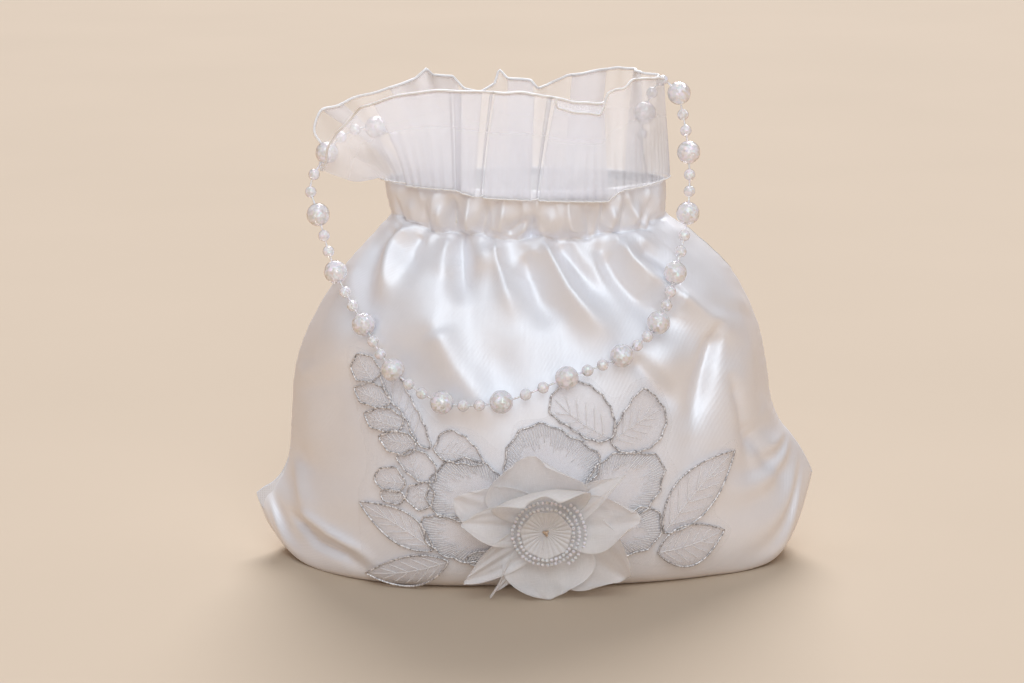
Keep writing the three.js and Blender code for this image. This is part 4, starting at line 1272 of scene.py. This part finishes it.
for k, shape in enumerate(PETALS):
    points = petal_sheet(*shape)
    verts, faces = thick_sheet(points, grid_normals(points), 0.14)
    size = points.shape[:2]
    across, along = np.meshgrid(np.linspace(0, 2 * shape[2], size[1]), np.linspace(0, shape[1], size[0]))
    uv = np.stack([across, along], -1).reshape(-1, 2) * MM
    link(f"petal_{k + 1:02d}", verts, faces, chiffon, nodes=(f"chiffon_petal_{k + 1:02d}",), slot="chiffon",
         uvs=np.vstack([uv, uv]))

# The base that holds the petals on the lace, and the centre: chiffon gathered into a pleated cone.
turns = circle(144)
base = []
for t in np.linspace(0, 1, 9):
    r = 7.2 - 1.6 * t + 0.35 * np.sin(24 * turns + 2 * t)
    base.append(in_flower(np.stack([r * np.cos(turns), 2.6 - 3.9 * t + 0 * turns, r * np.sin(turns)], 1)))
base = np.array(base)
base_faces = grid_faces(144, 8, True).tolist() + end_caps(144, 9)
base_uv = np.stack([np.tile(turns * 7, 9), np.repeat(np.arange(9) * 0.5, 144)], 1) * MM
link("flower_base", base.reshape(-1, 3), base_faces, chiffon, slot="chiffon", uvs=base_uv)

angle = circle(240)
cone = []
for t in np.linspace(0, 1, 20):
    r = 1.0 + 7.4 * t + 0.25 * t * np.sin(7 * angle)
    pleat = 0.42 * t**0.5 * (np.abs(np.sin(13 * angle + 0.6 * np.sin(3 * angle))) - 0.5)
    out = 5.4 + 2.0 * t**1.5 + pleat * (1.2 - 0.4 * t)
    cone.append(in_flower(np.stack([r * np.cos(angle), -out, r * np.sin(angle)], 1)))
cone = np.array(cone)[:, ::-1]
verts, faces = thick_sheet(cone, grid_normals(cone, True), 0.2, True)
uv = np.stack([np.tile(angle * 6, 40), np.repeat(np.tile(np.arange(20) * 0.4, 2), 240)], 1) * MM
link("centre_cone", verts, faces, chiffon, nodes=("flower_centre",), slot="chiffon", uvs=uv)
# Four small tan lumps in the middle of the flower: painted shade standing for the shadow in its hollow
# centre, not a real part.
shade_lumps = [bead(in_flower([x, -5.6, z]), np.array([0, -1.0, 0]), r, 0.15, 10, 12)
        for x, z, r in [(0, 0, 0.7), (-0.7, 0.4, 0.5), (0.6, 0.6, 0.45), (0.3, -0.7, 0.5)]]
# Their tan colour is painted shade.
painted_centre_shade = cord_material("centre_painted_shade", (0.50, 0.37, 0.26), (0.74, 0.60, 0.47), 0.1, 0.45)
link("centre_shade_lumps", *merge(shade_lumps), painted_centre_shade, slot="thread")


SEED_PITCH, SEED_RADIUS = 1.50, 0.72


def seed_string(radius, out, start, stop):
    """Seed beads on an arc round the flower's centre."""
    count = int(round(radius * (stop - start) / SEED_PITCH))
    beads = []
    for k in range(count):
        a = start + (stop - start) * (k + 0.5) / count
        jitter = rng.normal(0, 0.07, 3)
        centre = in_flower(np.array([radius * math.cos(a), -out, radius * math.sin(a)]) + jitter)
        axis = np.array([-math.sin(a), 0, math.cos(a)])
        beads.append(bead(centre, axis, SEED_RADIUS * rng.uniform(0.92, 1.05), 0.2, 9, 10))
    return merge(beads)


for name, radius, out, start, stop, replaced in [
    ("inner", 9.3, 7.1, 0, 2 * math.pi, ("seed_bead_ring_inner",)),
    ("outer", 11.2, 6.4, 0, 2 * math.pi, ("seed_bead_ring_outer",)),
    ("side", 13.2, 6.2, -1.0, 0.95, ()),
]:
    verts, faces = seed_string(radius, out, start, stop)
    link(f"seed_beads_{name}", verts, faces, seed_clear, nodes=replaced, slot="crystal")

# ---- Floor, light and camera ----
n = Nodes("paper_floor")
tone = n.noise(n.coords("Object"), 6, 2.0)
floor_color = n.ramp(tone, [(0.3, (0.54, 0.436, 0.328)), (0.7, (0.555, 0.448, 0.338))])
floor_shader = n.node("ShaderNodeBsdfPrincipled", Base_Color=floor_color, Roughness=0.8)
# The floor throws back a warmer light than it shows.
floor_bounce = n.node("ShaderNodeBsdfDiffuse", Color=(0.54, 0.395, 0.265, 1))
seen = n.node("ShaderNodeLightPath").outputs["Is Camera Ray"]
paper = n.finish(n.mixed(seen, floor_bounce.outputs[0], floor_shader.outputs[0]))
REACH = 9.0
steps = np.linspace(-REACH, REACH, 13)
floor_verts = [(x, y, 0.0) for y in steps for x in steps]
floor_mesh = bpy.data.meshes.new("floor")
floor_mesh.from_pydata(floor_verts, [], grid_faces(12, 12).tolist())
floor_mesh.polygons.foreach_set("use_smooth", [True] * len(floor_mesh.polygons))
floor_mesh.materials.append(paper)
floor = bpy.data.objects.new("floor", floor_mesh)
bpy.context.scene.collection.objects.link(floor)


def soft_sun(name, direction, strength, angle, color):
    """A far softbox: light arrives from the direction given, spread over the angle in degrees."""
    data = bpy.data.lights.new(name, "SUN")
    data.energy = strength
    data.angle = math.radians(angle)
    data.color = color
    lamp = bpy.data.objects.new(name, data)
    lamp.rotation_euler = Vector(direction).to_track_quat("Z", "Y").to_euler()
    bpy.context.scene.collection.objects.link(lamp)


soft_sun("key_from_behind", (0.05, 0.72, 0.69), 2.75, 34, (0.98, 0.98, 1.0))
soft_sun("front_softbox", (0.05, -0.70, 0.71), 1.22, 44, (0.82, 0.92, 1.0))
soft_sun("front_card", (0.10, -0.97, 0.18), 0.40, 30, (0.86, 0.93, 1.0))
world = bpy.data.worlds.new("studio")
world.use_nodes = True
sky = world.node_tree
height = sky.nodes.new("ShaderNodeSeparateXYZ")
sky.links.new(sky.nodes.new("ShaderNodeTexCoord").outputs["Generated"], height.inputs[0])
tint = sky.nodes.new("ShaderNodeValToRGB")
sky.links.new(height.outputs["Z"], tint.inputs[0])
SKY = [
    (0.0, (0.34, 0.19, 0.10)), (0.36, (0.35, 0.245, 0.18)), (0.52, (0.375, 0.375, 0.40)),
    (0.8, (0.41, 0.40, 0.415)),
]
for k, (level, color) in enumerate(SKY):
    stop = tint.color_ramp.elements[k] if k < 2 else tint.color_ramp.elements.new(level)
    stop.position = level
    stop.color = (*color, 1)
sky.links.new(tint.outputs[0], sky.nodes["Background"].inputs[0])
bpy.context.scene.world = world
bpy.context.scene.view_settings.view_transform = "Standard"
bpy.context.scene.cycles.transparent_max_bounces = 40  # the sheer layers lie many deep

CAMERA_RAISE = math.radians(13)
CAMERA_DISTANCE = 1100
AIM = np.array([-7.4, 0, 76.0])
look = np.array([0, math.cos(CAMERA_RAISE), -math.sin(CAMERA_RAISE)])
camera_data = bpy.data.cameras.new("camera")
camera_data.lens = 110.2
camera = bpy.data.objects.new("camera", camera_data)
camera.location = (AIM - CAMERA_DISTANCE * look) * MM + shift
camera.rotation_euler = Vector(look).to_track_quat("-Z", "Y").to_euler()
bpy.context.scene.collection.objects.link(camera)
bpy.context.scene.camera = camera
